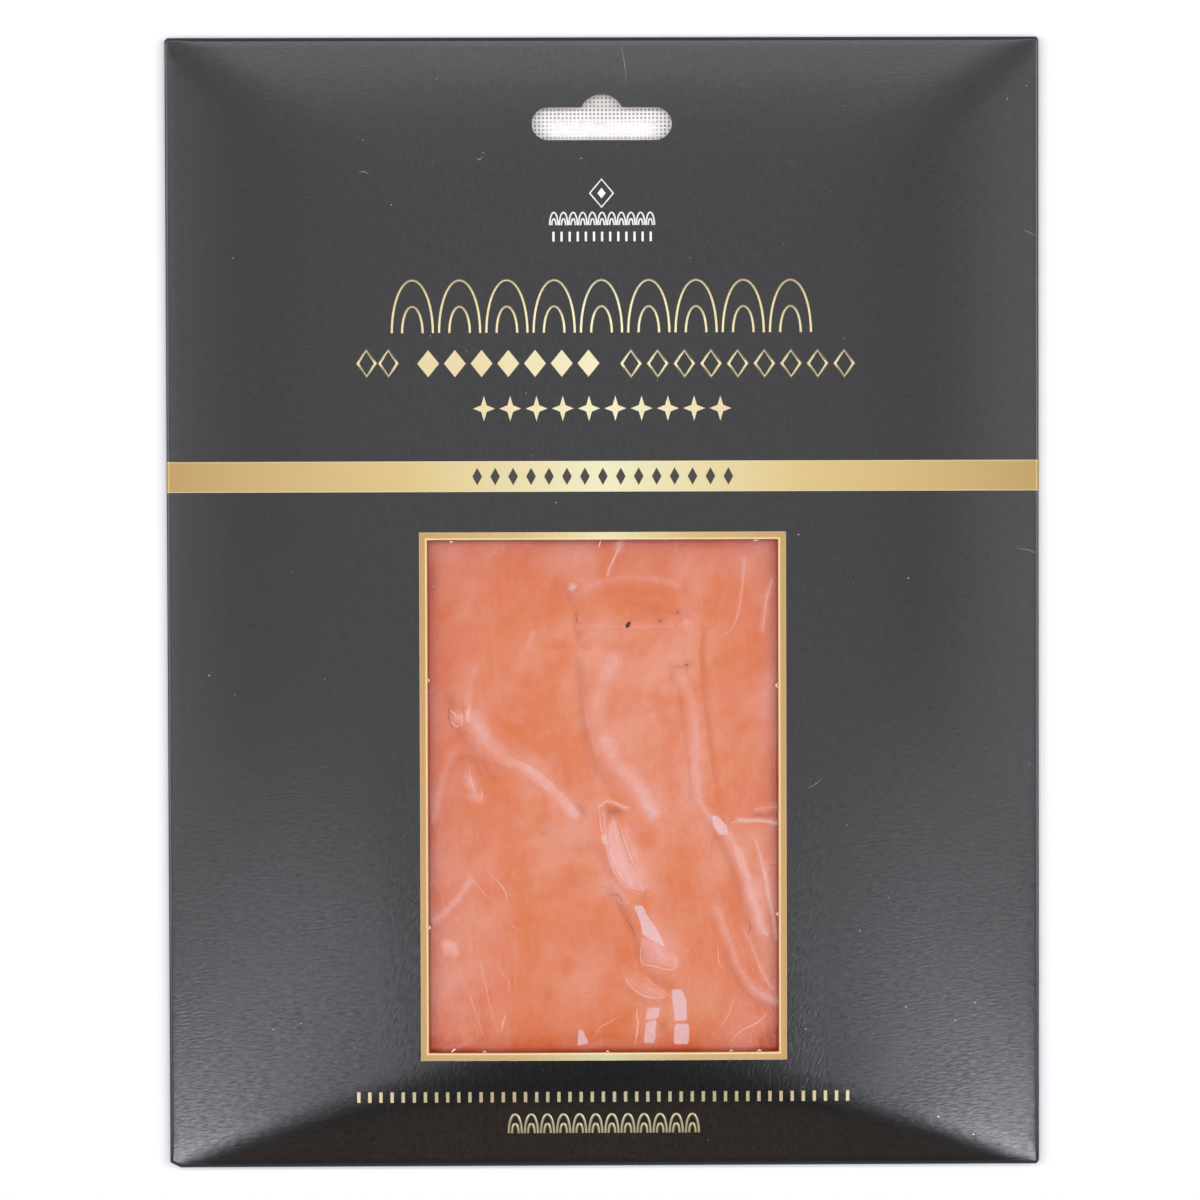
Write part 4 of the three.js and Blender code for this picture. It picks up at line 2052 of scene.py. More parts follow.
RIDGES = (
    Ridge(((-29.8, -25.6), (-27.4, -30), (-24.4, -33.6), (-20.6, -36.4)), 2.1, 0.35, 0.5),
    Ridge(((-21.1, -36), (-16.7, -38.2), (-12.3, -41.7), (-8.8, -45.6), (-6.6, -48.4)), 1.5, 0.32, 0.62),
    Ridge(((2.0, -12.6), (0.0, -17), (-1.2, -24), (-0.9, -29), (1.4, -34.6)), 2.6, 0.25, 0.4),
    Ridge(((0.2, -31.6), (1.9, -35.8), (5.2, -39.6), (8.8, -43.4), (10.8, -48)), 2.4, 0.3, 0.54),
    Ridge(((2.2, -50.4), (2.2, -55.5), (3.4, -60), (5.4, -64.2)), 1.3, 0.3, 0.34),
    Ridge(((4.6, -52), (6.6, -58), (9.2, -64.5)), 1.5, 0.25, 0.35),
    Ridge(((0.0, -48), (0.1, -52), (0.8, -55.5), (2.2, -60.5)), 0.45, 0.15, 0.55),
    Ridge(((10.6, -78), (12.5, -81.5), (15.4, -82.2)), 2.2, 0.3, 0.22),
    Ridge(((18.3, -17.4), (19.9, -22), (21.1, -29), (20.9, -37), (21.6, -45)), 1.3, 0.25, 0.42),
    Ridge(((21.8, -45.6), (23.7, -48.6), (26, -52)), 0.8, 0.3, 0.45),
    Ridge(((28.5, -53.3), (30.1, -56.6), (31.8, -61),
           (32.8, -64.4), (34.5, -70.4), (36.2, -75.4)), 1.5, 0.3, 0.5),
    Ridge(((34.5, -53.9), (36.2, -59.4), (37.8, -67.7), (39.5, -77)), 0.55, 0.2, 0.42),
    Ridge(((25.7, -70.4), (27.9, -76), (29.6, -81.5),
           (31.8, -86.5), (35.6, -90.3), (40.2, -91.8)), 1.3, 0.3, 0.42),
    Ridge(((31.8, -74.9), (34, -79.3), (36.2, -85.4), (38.4, -88.7)), 0.6, 0.15, 0.3),
    Ridge(((-30.7, -63.8), (-32.9, -67.1), (-34.9, -69.8), (-38.4, -72.4)), 1.2, 0.2, 0.45),
    Ridge(((-34, -33.5), (-37, -40), (-38.8, -49)), 1.3, 0.12, 0.3),
    Ridge(((-29.7, -15), (-30.5, -18.5), (-31, -23)), 1.2, 0.12, 0.28),
    Ridge(((4.0, 14.2), (3.4, 12.4)), 1.1, 0.2, 0.5),
    Ridge(((3.4, 12.4), (2.2, 10), (0.9, 6.6)), 0.35, 0.1, 0.5),
    Ridge(((38.6, 5.4), (37.2, 0.4), (36.4, -6.2)), 0.6, 0.1, 0.4),
    Ridge(((32.3, 10), (31.9, 4.9), (30.8, -2.9), (29.4, -6.2), (27.4, -7.6)), 0.35, 0.08, 0.35),
    Ridge(((-6, -5.4), (4, -5.6), (15.5, -5.2)), 0.7, 0.08, 0.24),
    Ridge(((-6.2, 1.6), (-2.9, 3.9), (1.2, 5.4), (9, 6.2), (17, 4.2)), 0.9, 0.1, 0.3),
    Ridge(((6.2, -87.4), (8.6, -88.6), (12.4, -89.8)), 1.3, 0.2, 0.28),
    Ridge(((-1.1, -46.7), (0.9, -45), (4, -46.6), (5.8, -47)), 0.4, 0.15, 0.7),
    Ridge(((-16, -6.6), (-17.4, -10.2)), 0.5, 0.1, 0.35),
    Ridge(((30.7, -49.9), (35.6, -50), (40.2, -50.6)), 0.45, 0.25, 0.85),
    Ridge(((34.6, -47.4), (40.2, -46.8)), 0.5, 0.2, 0.45),
)

# Pale milky places on the film: painted sheen.
SHEENS = (
    Spot((11.0, -47.8), 2.0, 2.2, 0.3),
    Spot((-19.3, -25.8), 2.2, 2.2, 0.17, 0, 4.0),
    Spot((-33.6, -26.4), 1.5, 1.7, 0.45, 20, 1.5),
    Spot((-31, -24.7), 0.5, 2.4, 0.5, 0, 1.5),
    Spot((-30.4, -41.2), 1.3, 3.2, 0.55, 12, 1.3),
    Spot((-29.4, -44.2), 2.4, 1.5, 0.5, -8, 1.5),
    Spot((-35.6, -79.2), 1.9, 2.6, 0.6, 35, 2.5),
    Spot((-31.2, -78.6), 0.9, 0.7, 0.3, 0, 2.0),
    Spot((15.5, -24), 2, 1.6, 0.2),
    Spot((19.2, -4.6), 1.4, 1.5, 0.3, 0, 2.0),
    Spot((-35, -88), 6, 7, 0.24),
    Spot((-34, -101.6), 5, 0.9, 0.3, 8),
    Spot((37, -64), 4, 12, 0.2),
    Spot((-36.5, 12), 5, 3, 0.25),
    Spot((31, 10), 9, 4, 0.24),
    Spot((38, -20), 2.2, 14, 0.2),
    Spot((-7.3, 4), 1.2, 1.0, 0.6, 0, 2.0),
    Spot((-1, 9), 7, 3, 0.12),
    Spot((12, -42), 8, 5, 0.1),
    Spot((-14, -52), 8, 2, 0.16, -12),
    Spot((0.2, -54), 0.7, 1.2, 0.6, 0, 2.0),
    Spot((31.8, -59.5), 1.0, 4.5, 0.3, 22, 2.0),
    Spot((24, -62), 4, 6, 0.12),
    Spot((0, -101.4), 9, 1.2, 0.2),
    Spot((-2.6, -37), 3, 8, 0.1),
    Spot((29, -100), 6, 3, 0.12),
)

STAINS = (
    Spot((-11.5, 2), 2.2, 5.0, 0.55, -6),
    Spot((-17, 6.5), 5.5, 2.4, 0.35, -18),
    Spot((-4, -2.6), 2.0, 4.0, 0.35),
    Spot((-6, -6.4), 0.9, 1.9, 0.7),
    Spot((-10.6, -9.8), 3.4, 1.3, 0.7, 0, 1.6),
    Spot((-4.1, -9.8), 1.6, 1.2, 0.65, 0, 1.6),
    Spot((-8.6, -13), 2.0, 2.6, 0.35),
    Spot((8, 2.7), 9, 1.1, 0.7, -3, 1.3),
    Spot((8, 0.6), 8, 2.6, 0.3, -3),
    Spot((3, -10), 3.6, 1.4, 0.35),
    Spot((-23.3, -40.4), 2.4, 1.2, 0.9, 16),
    Spot((-20, -29.6), 7.4, 1.3, 0.8, -38, 1.3),
    Spot((22.6, -12.5), 0.6, 7.0, 0.8, 0),
    Spot((24.2, -30), 0.9, 9.0, 0.6, 5),
    Spot((30, -28), 4, 13, 0.3),
    Spot((34, -10), 3, 5, 0.35),
    Spot((9.7, -54.4), 3.0, 1.9, 0.65, 0, 1.4),
    Spot((-15.8, -72.6), 4, 2.4, 0.35),
    Spot((18, -60), 4, 9, 0.4),
    Spot((-7, -56.4), 6, 1.6, 0.35),
    Spot((13.4, -87), 4.4, 1.6, 0.7, -32, 1.4),
    Spot((13.8, -97.4), 1.2, 3.2, 0.55),
    Spot((35.1, -93.6), 2.8, 1.4, 0.7, -12, 1.5),
    Spot((-3.2, -43.8), 1.6, 1.4, 0.7),
    Spot((-29.8, -35.6), 4.0, 0.8, 0.8, -22),
    Spot((25, -98), 8, 5, 0.3),
    Spot((-10, -92), 16, 6, 0.2),
)

# Dark red spots on the fish.
DARK_SPOTS = (
    Spot((-5, -47.2), 1.4, 1.5, 0.6),
    Spot((2.5, -47.7), 2.0, 1.0, 0.75, -14, 1.5),
    Spot((19, -14.3), 2.0, 0.5, 0.6, 12),
    Spot((15.6, -15.8), 0.5, 1.8, 0.5),
    Spot((-35, -23.6), 0.8, 3.2, 0.55, -6),
    Spot((-30, -33), 0.9, 6.4, 0.4, 34),
    Spot((-7.2, 2.0), 1.5, 1.3, 0.5),
    Spot((12.9, -4), 1.0, 0.6, 0.6),
    Spot((17, -2.2), 0.5, 0.5, 0.7),
    Spot((-13, -89.8), 0.7, 1.0, 0.5),
    Spot((-13.8, -53), 0.8, 0.5, 0.6, 0, 2.0),
    Spot((13.8, -97.2), 0.8, 0.8, 0.6),
    Spot((33.2, -74.6), 0.9, 1.4, 0.4),
    Spot((4.2, -70.8), 0.7, 4.4, 0.35, 26),
    Spot((-39.5, 4.6), 0.9, 3.4, 0.9),
    Spot((-36, -23), 0.4, 4, 0.4),
)

# Painted shade in the hollows between slices and beside the film's ridges, and the card's painted shadow
# along the window's top edge.
VALLEY_SHADES = (
    Valley(((-16, 14.8), (6, 14.4), (22, 14.0), (39, 13.4)), 1.1, 0.6),
    Valley(((36.5, -101), (39.6, -98)), 1.6, 0.5),
    Valley(((-5.6, -14), (-4.9, -22), (-4.7, -28), (-3.2, -33.6), (-0.9, -38.7), (0.6, -41)), 1.0, 0.34),
    Valley(((-6.4, -1.8), (-6.0, -4.2), (-5.6, -6.4)), 0.5, 0.5),
    Valley(((0.4, -65.4), (3, -67), (4.8, -71.6), (7, -76), (8.4, -81)), 0.7, 0.45),
    Valley(((34, -49), (39.6, -48.5)), 0.45, 0.6),
    Valley(((15.4, -17.6), (15.6, -15), (18.1, -14.4), (19.8, -13.8)), 0.5, 0.42),
    Valley(((-35.6, -21), (-34.9, -26.6), (-32.2, -31), (-27.7, -36.6), (-25, -40.4)), 0.8, 0.36),
    Valley(((-32, -29.5), (-28, -34.5), (-22, -38.6), (-14, -43)), 0.9, 0.16),
    Valley(((24.2, -50), (27.1, -56), (29.9, -62.2), (31.6, -69.3), (33.2, -75.4), (36, -82)), 0.8, 0.34),
    Valley(((27.6, -79), (30, -85.4), (33, -90.4), (37, -92.6), (40, -93)), 0.8, 0.3),
    Valley(((17.4, -19.4), (18, -26), (18.9, -32.7), (19.7, -39.3), (20.1, -45)), 0.45, 0.3),
    Valley(((22.9, -6), (22.8, -13), (23.4, -22), (24.4, -32), (25.8, -41)), 0.6, 0.2),
    Valley(((-33.6, -36), (-31.6, -34.9), (-29.6, -35.7), (-28, -39.4)), 0.45, 0.5),
    Valley(((-0.6, -56.6), (0.8, -60.4), (2.6, -64.4)), 0.7, 0.3),
    Valley(((9, -84.4), (12, -86.4), (15.4, -89)), 0.9, 0.26),
    Valley(((4, -86.6), (6.6, -90.2), (11, -92.2), (14.6, -91.6)), 0.7, 0.2),
    Valley(((-8.8, 4.8), (-7.2, 1.2), (-5.7, 4.6)), 0.45, 0.5),
    Valley(((-13, -52.8), (-4, -55), (-1, -57)), 1.2, 0.16),
    Valley(((5.2, 0.4), (14, -2.2), (17.4, -2.2)), 0.9, 0.16),
    Valley(((-5.8, -6.2), (-5.4, -10.4)), 0.5, 0.22),
    Valley(((-40, -95.2), (-33, -95.6), (-26, -96.4)), 0.9, 0.14),
)


@dataclass(frozen=True)
class WindowShade:
    """How the fish darkens towards one edge of the window, under the card's shadow."""

    outward: Point
    reach: float
    depth: float

    def share(self, form: PackForm, points: np.ndarray) -> np.ndarray:
        """Give the darkening at some places.

        Args:
            form: The pack, for its window.
            points: The places.

        Returns:
            The share at each place.
        """
        half = np.array(form.window_size) / 2
        outward = np.array(self.outward)
        gap = np.abs(outward) @ half - (points - np.array(form.window_centre)) @ outward
        return self.depth * np.exp(-np.maximum(gap, 0) / (self.reach * MM))


SHADES = (
    WindowShade((1, 0), 1.3, 0.75),
    WindowShade((1, 0), 4.0, 0.38),
    WindowShade((-1, 0), 0.5, 0.5),
    WindowShade((-1, 0), 6.5, 0.58),
    WindowShade((0, 1), 0.8, 0.7),
    WindowShade((0, 1), 6.0, 0.55),
    WindowShade((0, -1), 1.1, 0.7),
    WindowShade((0, -1), 4.5, 0.3),
)


@dataclass
class SalmonFilling:
    """The slices of fish and the film that is drawn down on them."""

    form: PackForm
    slices: tuple[Slice, ...] = SLICES
    step: float = 0.3 * MM
    feather: float = 1.6 * MM
    show: float = 0.2
    cling: float = 0.8
    ridge_share: float = 0.55
    gap: float = 0.07 * MM
    slice_spacing: float = 0.9 * MM
    film_spacing: float = 0.48 * MM
    film_margin: float = 2.5 * MM
    pouch_spacing: float = 4 * MM
    base_spacing: float = 20 * MM
    under_spacing: float = 3 * MM
    slice_overlap: float = 0.03 * MM
    bed_half_width: float = 62 * MM
    bed_inset: float = 9 * MM
    bed_top: float = 40 * MM
    bed_lift: float = 0.15 * MM
    bed_tone: float = 0.2
    bed_edge: float = 9 * MM
    sheen_ripple: float = 0.25
    sharp: float = 60

    def cover(self, number: int, x: np.ndarray, y: np.ndarray) -> np.ndarray:
        """Give 1 where a slice lies at full thickness and 0 outside it."""
        return smooth_step(0, self.feather, self.slices[number].inside(x, y))

    def stack(self, count: int, x: np.ndarray, y: np.ndarray) -> np.ndarray:
        """Height that the lowest slices add."""
        return self.step * sum((self.cover(k, x, y) for k in range(count)), np.zeros_like(x))

    def ridges(self, x: np.ndarray, y: np.ndarray) -> np.ndarray:
        """Height that the film's ridges add.

        Args:
            x: Places across the pack.
            y: Places along the pack.

        Returns:
            The height at each place, of the highest ridge there.
        """
        points = np.column_stack([x, y])
        height = np.zeros(len(points))
        for ridge in RIDGES:
            height = np.maximum(height, ridge.rise * MM * ridge.strength(points))
        return height * self.ridge_share

    def ceiling(self, x: np.ndarray, y: np.ndarray) -> np.ndarray:
        """Greatest height that clears the card."""
        return self.form.front_inside(x, y) - self.form.card_clearance

    def film_face(self, x: np.ndarray, y: np.ndarray) -> np.ndarray:
        """Height of the film."""
        level = self.form.film(x, y) + self.stacked(x, y) + self.ridges(x, y)
        return np.minimum(level, self.ceiling(x, y))

    def stacked(self, x: np.ndarray, y: np.ndarray) -> np.ndarray:
        """Height that the slices' overlaps still show once the film has pressed them flat."""
        return self.show * (self.stack(len(self.slices), x, y) - self.step)

    def fish_face(self, x: np.ndarray, y: np.ndarray) -> np.ndarray:
        """Height of the uppermost fish."""
        level = self.form.film(x, y) + self.stacked(x, y) + self.cling * self.ridges(x, y)
        return np.minimum(level, self.ceiling(x, y)) - self.gap

    def slice_top(self, number: int, x: np.ndarray, y: np.ndarray) -> np.ndarray:
        """Height of a slice's upper face, below all that lies on it."""
        above = self.stack(len(self.slices), x, y) - self.stack(number + 1, x, y)
        return self.fish_face(x, y) - above

    def slice_bottom(self, number: int, x: np.ndarray, y: np.ndarray) -> np.ndarray:
        """Height of a slice's lower face."""
        return self.slice_top(number, x, y) - self.step * self.cover(number, x, y) - self.slice_overlap

    def bed_face(self, x: np.ndarray, y: np.ndarray) -> np.ndarray:
        """Height of the lowest layer's upper face."""
        return self.fish_face(x, y) - self.stack(len(self.slices), x, y)

    def bed_bottom(self, x: np.ndarray, y: np.ndarray) -> np.ndarray:
        """Height of the lowest layer's lower face."""
        return np.full_like(x, self.form.pouch_base + self.bed_lift)

    def slice_piece(self, number: int, material: bpy.types.Material) -> bpy.types.Object:
        """Make one slice as a thin closed sheet.

        Args:
            number: The slice's place in the stack, from below.
            material: What it wears.

        Returns:
            The finished piece.
        """
        one = self.slices[number]
        top, bottom = partial(self.slice_top, number), partial(self.slice_bottom, number)
        mesh = self.sheet(one.outline(), top, bottom)
        made = mesh.make(f"slice_{one.name}", [material], self.sharp)
        self.dress(made, one.tone, lambda p: one.inside(p[:, 0], p[:, 1]))
        return made

    def bed_piece(self, material: bpy.types.Material) -> bpy.types.Object:
        """Make the lowest layer of fish, which all the slices lie on.

        Args:
            material: What it wears.

        Returns:
            The finished piece.
        """
        side, low = self.bed_half_width, self.form.fish_ends[0] + self.bed_inset
        corners = np.array([(-side, low), (side, low), (side, self.bed_top), (-side, self.bed_top)])
        mesh = self.sheet(walk(corners, self.under_spacing), self.bed_face, self.bed_bottom)
        made = mesh.make("fish_bed", [material], self.sharp)
        self.dress(made, self.bed_tone, lambda p: np.full(len(p), self.bed_edge))
        return made

    def sheet(self, loop: np.ndarray, top: Height, bottom: Height) -> PieceMesh:
        """Make the surfaces of a closed sheet of fish.

        Args:
            loop: Its outline.
            top: Height of its upper face.
            bottom: Height of its lower face.

        Returns:
            The surfaces.
        """
        upper = FlatDomain(loop, spacing=self.slice_spacing)
        lower = FlatDomain(loop, spacing=self.under_spacing)
        mesh = PieceMesh()
        mesh.slab(upper, lower, top, bottom)
        return mesh

    def dress(self, piece: bpy.types.Object, tone: float, edge: FieldValues) -> None:
        """Keep the fields that the flesh reads, and tie the piece to the model.

        Args:
            piece: A slice or the lowest layer.
            tone: How dark its cut is.
            edge: Gives the distance in from its edge.
        """
        store_field(piece, "stain", lambda p: self.total(STAINS, p))
        # Dark spots, and painted shade in the hollows between slices.
        store_field(piece, "dark_spots_and_shade", lambda p: self.total(DARK_SPOTS + VALLEY_SHADES, p))
        # Painted shadow of the card near the window's edges.
        store_field(piece, "shade", lambda p: self.shade(p[:, :2]))
        store_field(piece, "cut", lambda p: np.full(len(p), tone))
        store_field(piece, "edge", edge)
        book(piece, "film_and_fish")

    def total(self, spots: Sequence[Spot | Valley], places: np.ndarray) -> np.ndarray:
        """Give the strongest of some spots at each place."""
        return np.max([spot.share(places[:, :2]) for spot in spots], axis=0)

    def shade(self, points: np.ndarray) -> np.ndarray:
        """Give how much the card's painted shadow darkens the fish near the window's edges."""
        return 1 - np.prod([1 - shade.share(self.form, points) for shade in SHADES], axis=0)

    def sheen(self, places: np.ndarray) -> np.ndarray:
        """Give the film's painted sheen, which makes it look milky.

        Args:
            places: Rows of X, Y and Z.

        Returns:
            A number from 0 to 1 for each place.
        """
        points = ripple(places[:, :2], self.sheen_ripple)
        ridges = np.max([ridge.sheen * ridge.veil(points) for ridge in RIDGES], axis=0)
        return np.clip(ridges + self.total(SHEENS, places), 0, 1)

    def film_piece(self) -> bpy.types.Object:
        """Make the pouch: clear film above, a flat base below, sealed all round.

        Returns:
            The finished piece.
        """
        form = self.form
        half = np.array([form.half_width, form.half_height]) - form.pouch_inset
        signs = np.array([(-1, -1), (1, -1), (1, 1), (-1, 1)])
        loop = walk(signs * half, self.pouch_spacing)
        low = np.array(form.window_centre) - np.array(form.window_size) / 2 - self.film_margin
        high = np.array(form.window_centre) + np.array(form.window_size) / 2 + self.film_margin
        fine = lattice(low, high, self.film_spacing)
        upper = FlatDomain(loop, spacing=self.pouch_spacing, extra_points=[fine])
        mesh = PieceMesh()
        mesh.slab(upper, FlatDomain(loop, spacing=self.base_spacing), self.film_face, self.base)
        made = mesh.make("pouch_film", [ClearFilm("clear_film").make()], self.sharp)
        store_field(made, "sheen", self.sheen)
        store_field(made, "stain", lambda p: self.total(STAINS, p))
        book(made, "film_and_fish", "salmon_pouch")
        return made

    def base(self, x: np.ndarray, y: np.ndarray) -> np.ndarray:
        """Height of the pouch's flat underside."""
        return np.full_like(x, self.form.pouch_base)

    def build(self) -> None:
        """Make the fish and the film."""
        flesh = FishFlesh().make()
        self.bed_piece(flesh)
        for number in range(len(self.slices)):
            self.slice_piece(number, flesh)
        self.film_piece()


@dataclass(frozen=True)
class Bead:
    """A thin line that stands on a surface: a path in millimetres, with its width there."""

    path: tuple[Point, ...]
    width: float


@dataclass
class Beading:
    """Thin creases, hairs and nicks, drawn along paths on a surface."""

    name: str
    beads: tuple[Bead, ...]
    surface: Height
    material: bpy.types.Material
    slot: str
    flatness: float = 0.45
    lift: float = 0.02 * MM
    tip: float = 0.35
    steps: int = 14
    sides: int = 8

    def curves(self) -> bpy.types.Object:
        """Make the paths.

        Returns:
            One curve object whose point radius is half the width, less towards the tips.
        """
        data = bpy.data.curves.new(self.name, "CURVE")
        data.dimensions = "3D"
        for bead in self.beads:
            path = rounded_path(to_metres(bead.path))
            spline = data.splines.new("POLY")
            spline.points.add(len(path) - 1)
            for number, (point, place) in enumerate(zip(spline.points, path)):
                swell = math.sin(math.pi * number / (len(path) - 1))
                point.co = (*place, 0.0, 1.0)
                point.radius = bead.width * MM / 2 * (self.tip + (1 - self.tip) * swell)
        return blank_object(f"{self.name}_paths", data)

    def tree(self) -> GeoTree:
        """Build the tree that sweeps an oval section along the paths.

        Returns:
            The tree, with inputs for the section's flatness and number of sides.
        """
        tree = GeoTree(f"{self.name}_sweep")
        flat = tree.value("Flatness")
        sides = tree.value("Sides", True)
        paths = {"Curve": tree.source.outputs["Geometry"], "Count": self.steps}
        even = tree.node("GeometryNodeResampleCurve", None, paths).outputs[0]
        section = {"Resolution": sides, "Radius": 1.0}
        ring = tree.node("GeometryNodeCurvePrimitiveCircle", None, section).outputs[0]
        oval = tree.moved(ring, Scale=tree.vector(1.0, flat, 1.0))
        radius = tree.node("GeometryNodeInputRadius").outputs[0]
        tree.finish(tree.swept(even, "Z_UP", oval, Scale=radius), self.material)
        return tree

    def build(self) -> bpy.types.Object:
        """Make the beads.

        Returns:
            The finished piece.
        """
        paths = self.curves()
        mesh = self.tree().run(paths, {"Flatness": self.flatness, "Sides": self.sides})
        bpy.data.objects.remove(paths)
        settle(mesh, lambda x, y: self.surface(x, y) + self.lift)
        close_seams(mesh)
        mesh.polygons.foreach_set("use_smooth", np.ones(len(mesh.polygons), dtype=bool))
        made = blank_object(self.name, mesh)
        book(made, self.slot)
        return made


# Pale lines along the film's creases: painted highlights.
FILM_CREASE_HIGHLIGHTS = (
    Bead(((-35.2, -24.2), (-34.4, -25.2), (-33.2, -26.6)), 0.5),
    Bead(((-35, -27.2), (-33.8, -28.4), (-33, -27.8)), 0.4),
    Bead(((-32.8, -24.6), (-32.4, -26.8), (-32.7, -28)), 0.34),
    Bead(((-31.9, -22.2), (-31.7, -25)), 0.3),
    Bead(((-30.8, -38.2), (-30.6, -41), (-29.6, -43.4)), 0.3),
    Bead(((-28.4, -42), (-27.8, -44.4), (-29, -45.6)), 0.24),
    Bead(((7, -41.6), (8.4, -43.4)), 0.3),
    Bead(((29.8, -56.6), (31, -60), (31.7, -63.2)), 0.26),
    Bead(((31.4, -56.4), (32.6, -60.4)), 0.2),
    Bead(((2.1, -48.7), (0.4, -51.8), (0.2, -55), (0.8, -58),
          (2.6, -62.6), (5.5, -66.2), (9.0, -66.8)), 0.24),
    Bead(((2.7, -48.5), (4.3, -53.6), (5.6, -57), (6.6, -60), (8.6, -63), (10.2, -65.6)), 0.34),
    Bead(((29.3, -50.6), (30.7, -49.9), (35.6, -50), (39.6, -50.6)), 0.5),
    Bead(((4.7, -85.9), (6.4, -88.7), (9.7, -90.6), (13, -90.8), (14.6, -90.1)), 0.46),
    Bead(((8.3, -85.1), (11.3, -87.6), (14.6, -90.1)), 0.2),
    Bead(((8.2, -79), (8.1, -83.1), (10.8, -83.1), (15.7, -84.6), (17, -82.6), (15.4, -79.9)), 0.4),
    Bead(((-26.8, -61.3), (-24, -64.1), (-22.4, -66.6), (-22.5, -67.9)), 0.32),
    Bead(((-21.9, -66.6), (-20.2, -66.9)), 0.4),
    Bead(((-31.2, -61.9), (-28.5, -65.5), (-26.8, -67.4), (-24.9, -68)), 0.2),
    Bead(((-22.9, -60.2), (-19.3, -63.5)), 0.22),
    Bead(((-35.9, -61.9), (-32.9, -65.5)), 0.16),
    Bead(((-39.4, -63), (-36.5, -68.8)), 0.2),
    Bead(((-22.1, -72.7), (-20.8, -74.3), (-19.1, -75.1)), 0.2),
    Bead(((-29.3, -78.2), (-28.5, -82.6), (-26.8, -89.8), (-25.7, -95.9), (-24.6, -98.6)), 0.16),
    Bead(((-24.6, -82.6), (-23.5, -84.8), (-22.4, -86.4)), 0.16),
    Bead(((-33.4, -83.7), (-31.2, -89.2), (-29, -95.9), (-27.3, -100.3)), 0.16),
    Bead(((-35.1, -94.2), (-32.6, -99.2)), 0.14),
    Bead(((-22.2, -85.9), (-21.9, -88.9)), 0.42),
    Bead(((-22.5, -94), (-23.5, -96.4), (-23.8, -98.3)), 0.32),
    Bead(((26, -78.2), (26, -82.6), (27.1, -84)), 0.28),
    Bead(((29.8, -89.8), (28.5, -94.8), (26.2, -98.1)), 0.2),
    Bead(((28.5, -101.6), (31.2, -98.1), (34, -97.2), (36.2, -95.6), (37.4, -94)), 0.34),
    Bead(((33.8, -78.9), (36.2, -85.4), (38.4, -88.7)), 0.16),
    Bead(((-1.1, -46.7), (0.9, -45), (4.1, -46.7), (5.8, -47)), 0.36),
    Bead(((-1.2, -47), (-0.9, -50.4), (-0.4, -54)), 0.3),
    Bead(((7.5, -93), (7.2, -94.6), (7.7, -97), (6.9, -101.4)), 0.5),
    Bead(((3.7, 13.4), (2.4, 10.4), (0.7, 6.2)), 0.26),
    Bead(((22, 12), (20.6, 9)), 0.16),
    Bead(((38.6, 5.4), (37.2, 0.4), (36.4, -6.2)), 0.22),
    Bead(((32.4, 8), (31.9, 3.9), (30.8, -2.9), (29.4, -6.2)), 0.16),
    Bead(((25.6, -3.1), (24.5, -5.4)), 0.18),
    Bead(((-29.8, -14.8), (-29.6, -16.8)), 0.2),
    Bead(((-31, -22.8), (-31.2, -27.2)), 0.3),
    Bead(((34.5, -53.9), (36.2, -59.4), (37.8, -67.7), (39.5, -77)), 0.22),
    Bead(((3.0, -27.8), (3.8, -28.1), (4.1, -28.7)), 0.3),
    Bead(((-3, -100.3), (-1.4, -97.5), (1.4, -95.9), (4.4, -94.5)), 0.2),
    Bead(((37.4, -46.2), (39.4, -45.6)), 0.3),
)

# Dark lines along the seams between slices and under the film's creases: partly the seams' own colour,
# partly painted shade.
FISH_SEAM_SHADOWS = (
    Bead(((-6.4, -2.4), (-6.2, -3.6), (-5.9, -4.8)), 0.42),
    Bead(((1.4, -66.9), (3.2, -66.8), (4.3, -68.6)), 0.3),
    Bead(((5.2, -72.4), (6.2, -74.6), (7.2, -76.6)), 0.3),
    Bead(((34, -48.9), (39.2, -48.3)), 0.34),
    Bead(((-22.5, -34.4), (-17, -36.6), (-12.8, -39.6), (-8.6, -44.4)), 0.2),
    Bead(((-35.4, -23.6), (-35.8, -26), (-34.6, -28.6)), 0.3),
    Bead(((23.4, -47.6), (24.4, -50), (25.6, -52)), 0.24),
    Bead(((26.4, -47.9), (27.4, -50), (28.6, -51.4), (28.9, -49)), 0.24),
    Bead(((33.2, -73), (33.6, -74.6), (33, -76)), 0.4),
)

DARK_SPECKS = (
    Bead(((5.2, -5.6), (5.5, -5.0), (6.1, -4.3)), 1.0),
    Bead(((12.6, -4.2), (13.1, -3.9)), 0.5),
    Bead(((16.8, -2.4), (17.2, -2.0)), 0.45),
    Bead(((18.6, -14.3), (19.2, -14)), 0.5),
)

CUT_BURRS = (
    Bead(((-35.2, 14.5), (-34.8, 14.0), (-34.3, 14.3)), 0.4),
    Bead(((-0.6, 14.4), (-0.9, 13.6), (-1.1, 12.8)), 0.34),
    Bead(((34.3, 14.2), (35.1, 14.5), (35.8, 14.6)), 0.5),
    Bead(((39.8, -18.4), (39.3, -18.9), (39.9, -19.4)), 0.45),
    Bead(((39.8, -71.0), (39.4, -71.3), (39.9, -71.7)), 0.4),
    Bead(((-40.3, -17.0), (-39.9, -17.5), (-40.3, -17.9)), 0.4),
    Bead(((-40.3, -73.7), (-39.9, -74.1), (-40.3, -74.6)), 0.42),
    Bead(((-35.2, -102.8), (-34.7, -102.3), (-34.2, -102.0)), 0.45),
    Bead(((-28.0, -102.9), (-27.6, -102.5), (-27.2, -102.9)), 0.34),
    Bead(((0.2, -102.9), (0.6, -102.5), (1.0, -102.9)), 0.34),
    Bead(((28.6, -102.9), (29.0, -102.4), (29.3, -102.9)), 0.34),
    Bead(((34.9, -102.9), (35.4, -102.5), (35.9, -102.8)), 0.4),
)

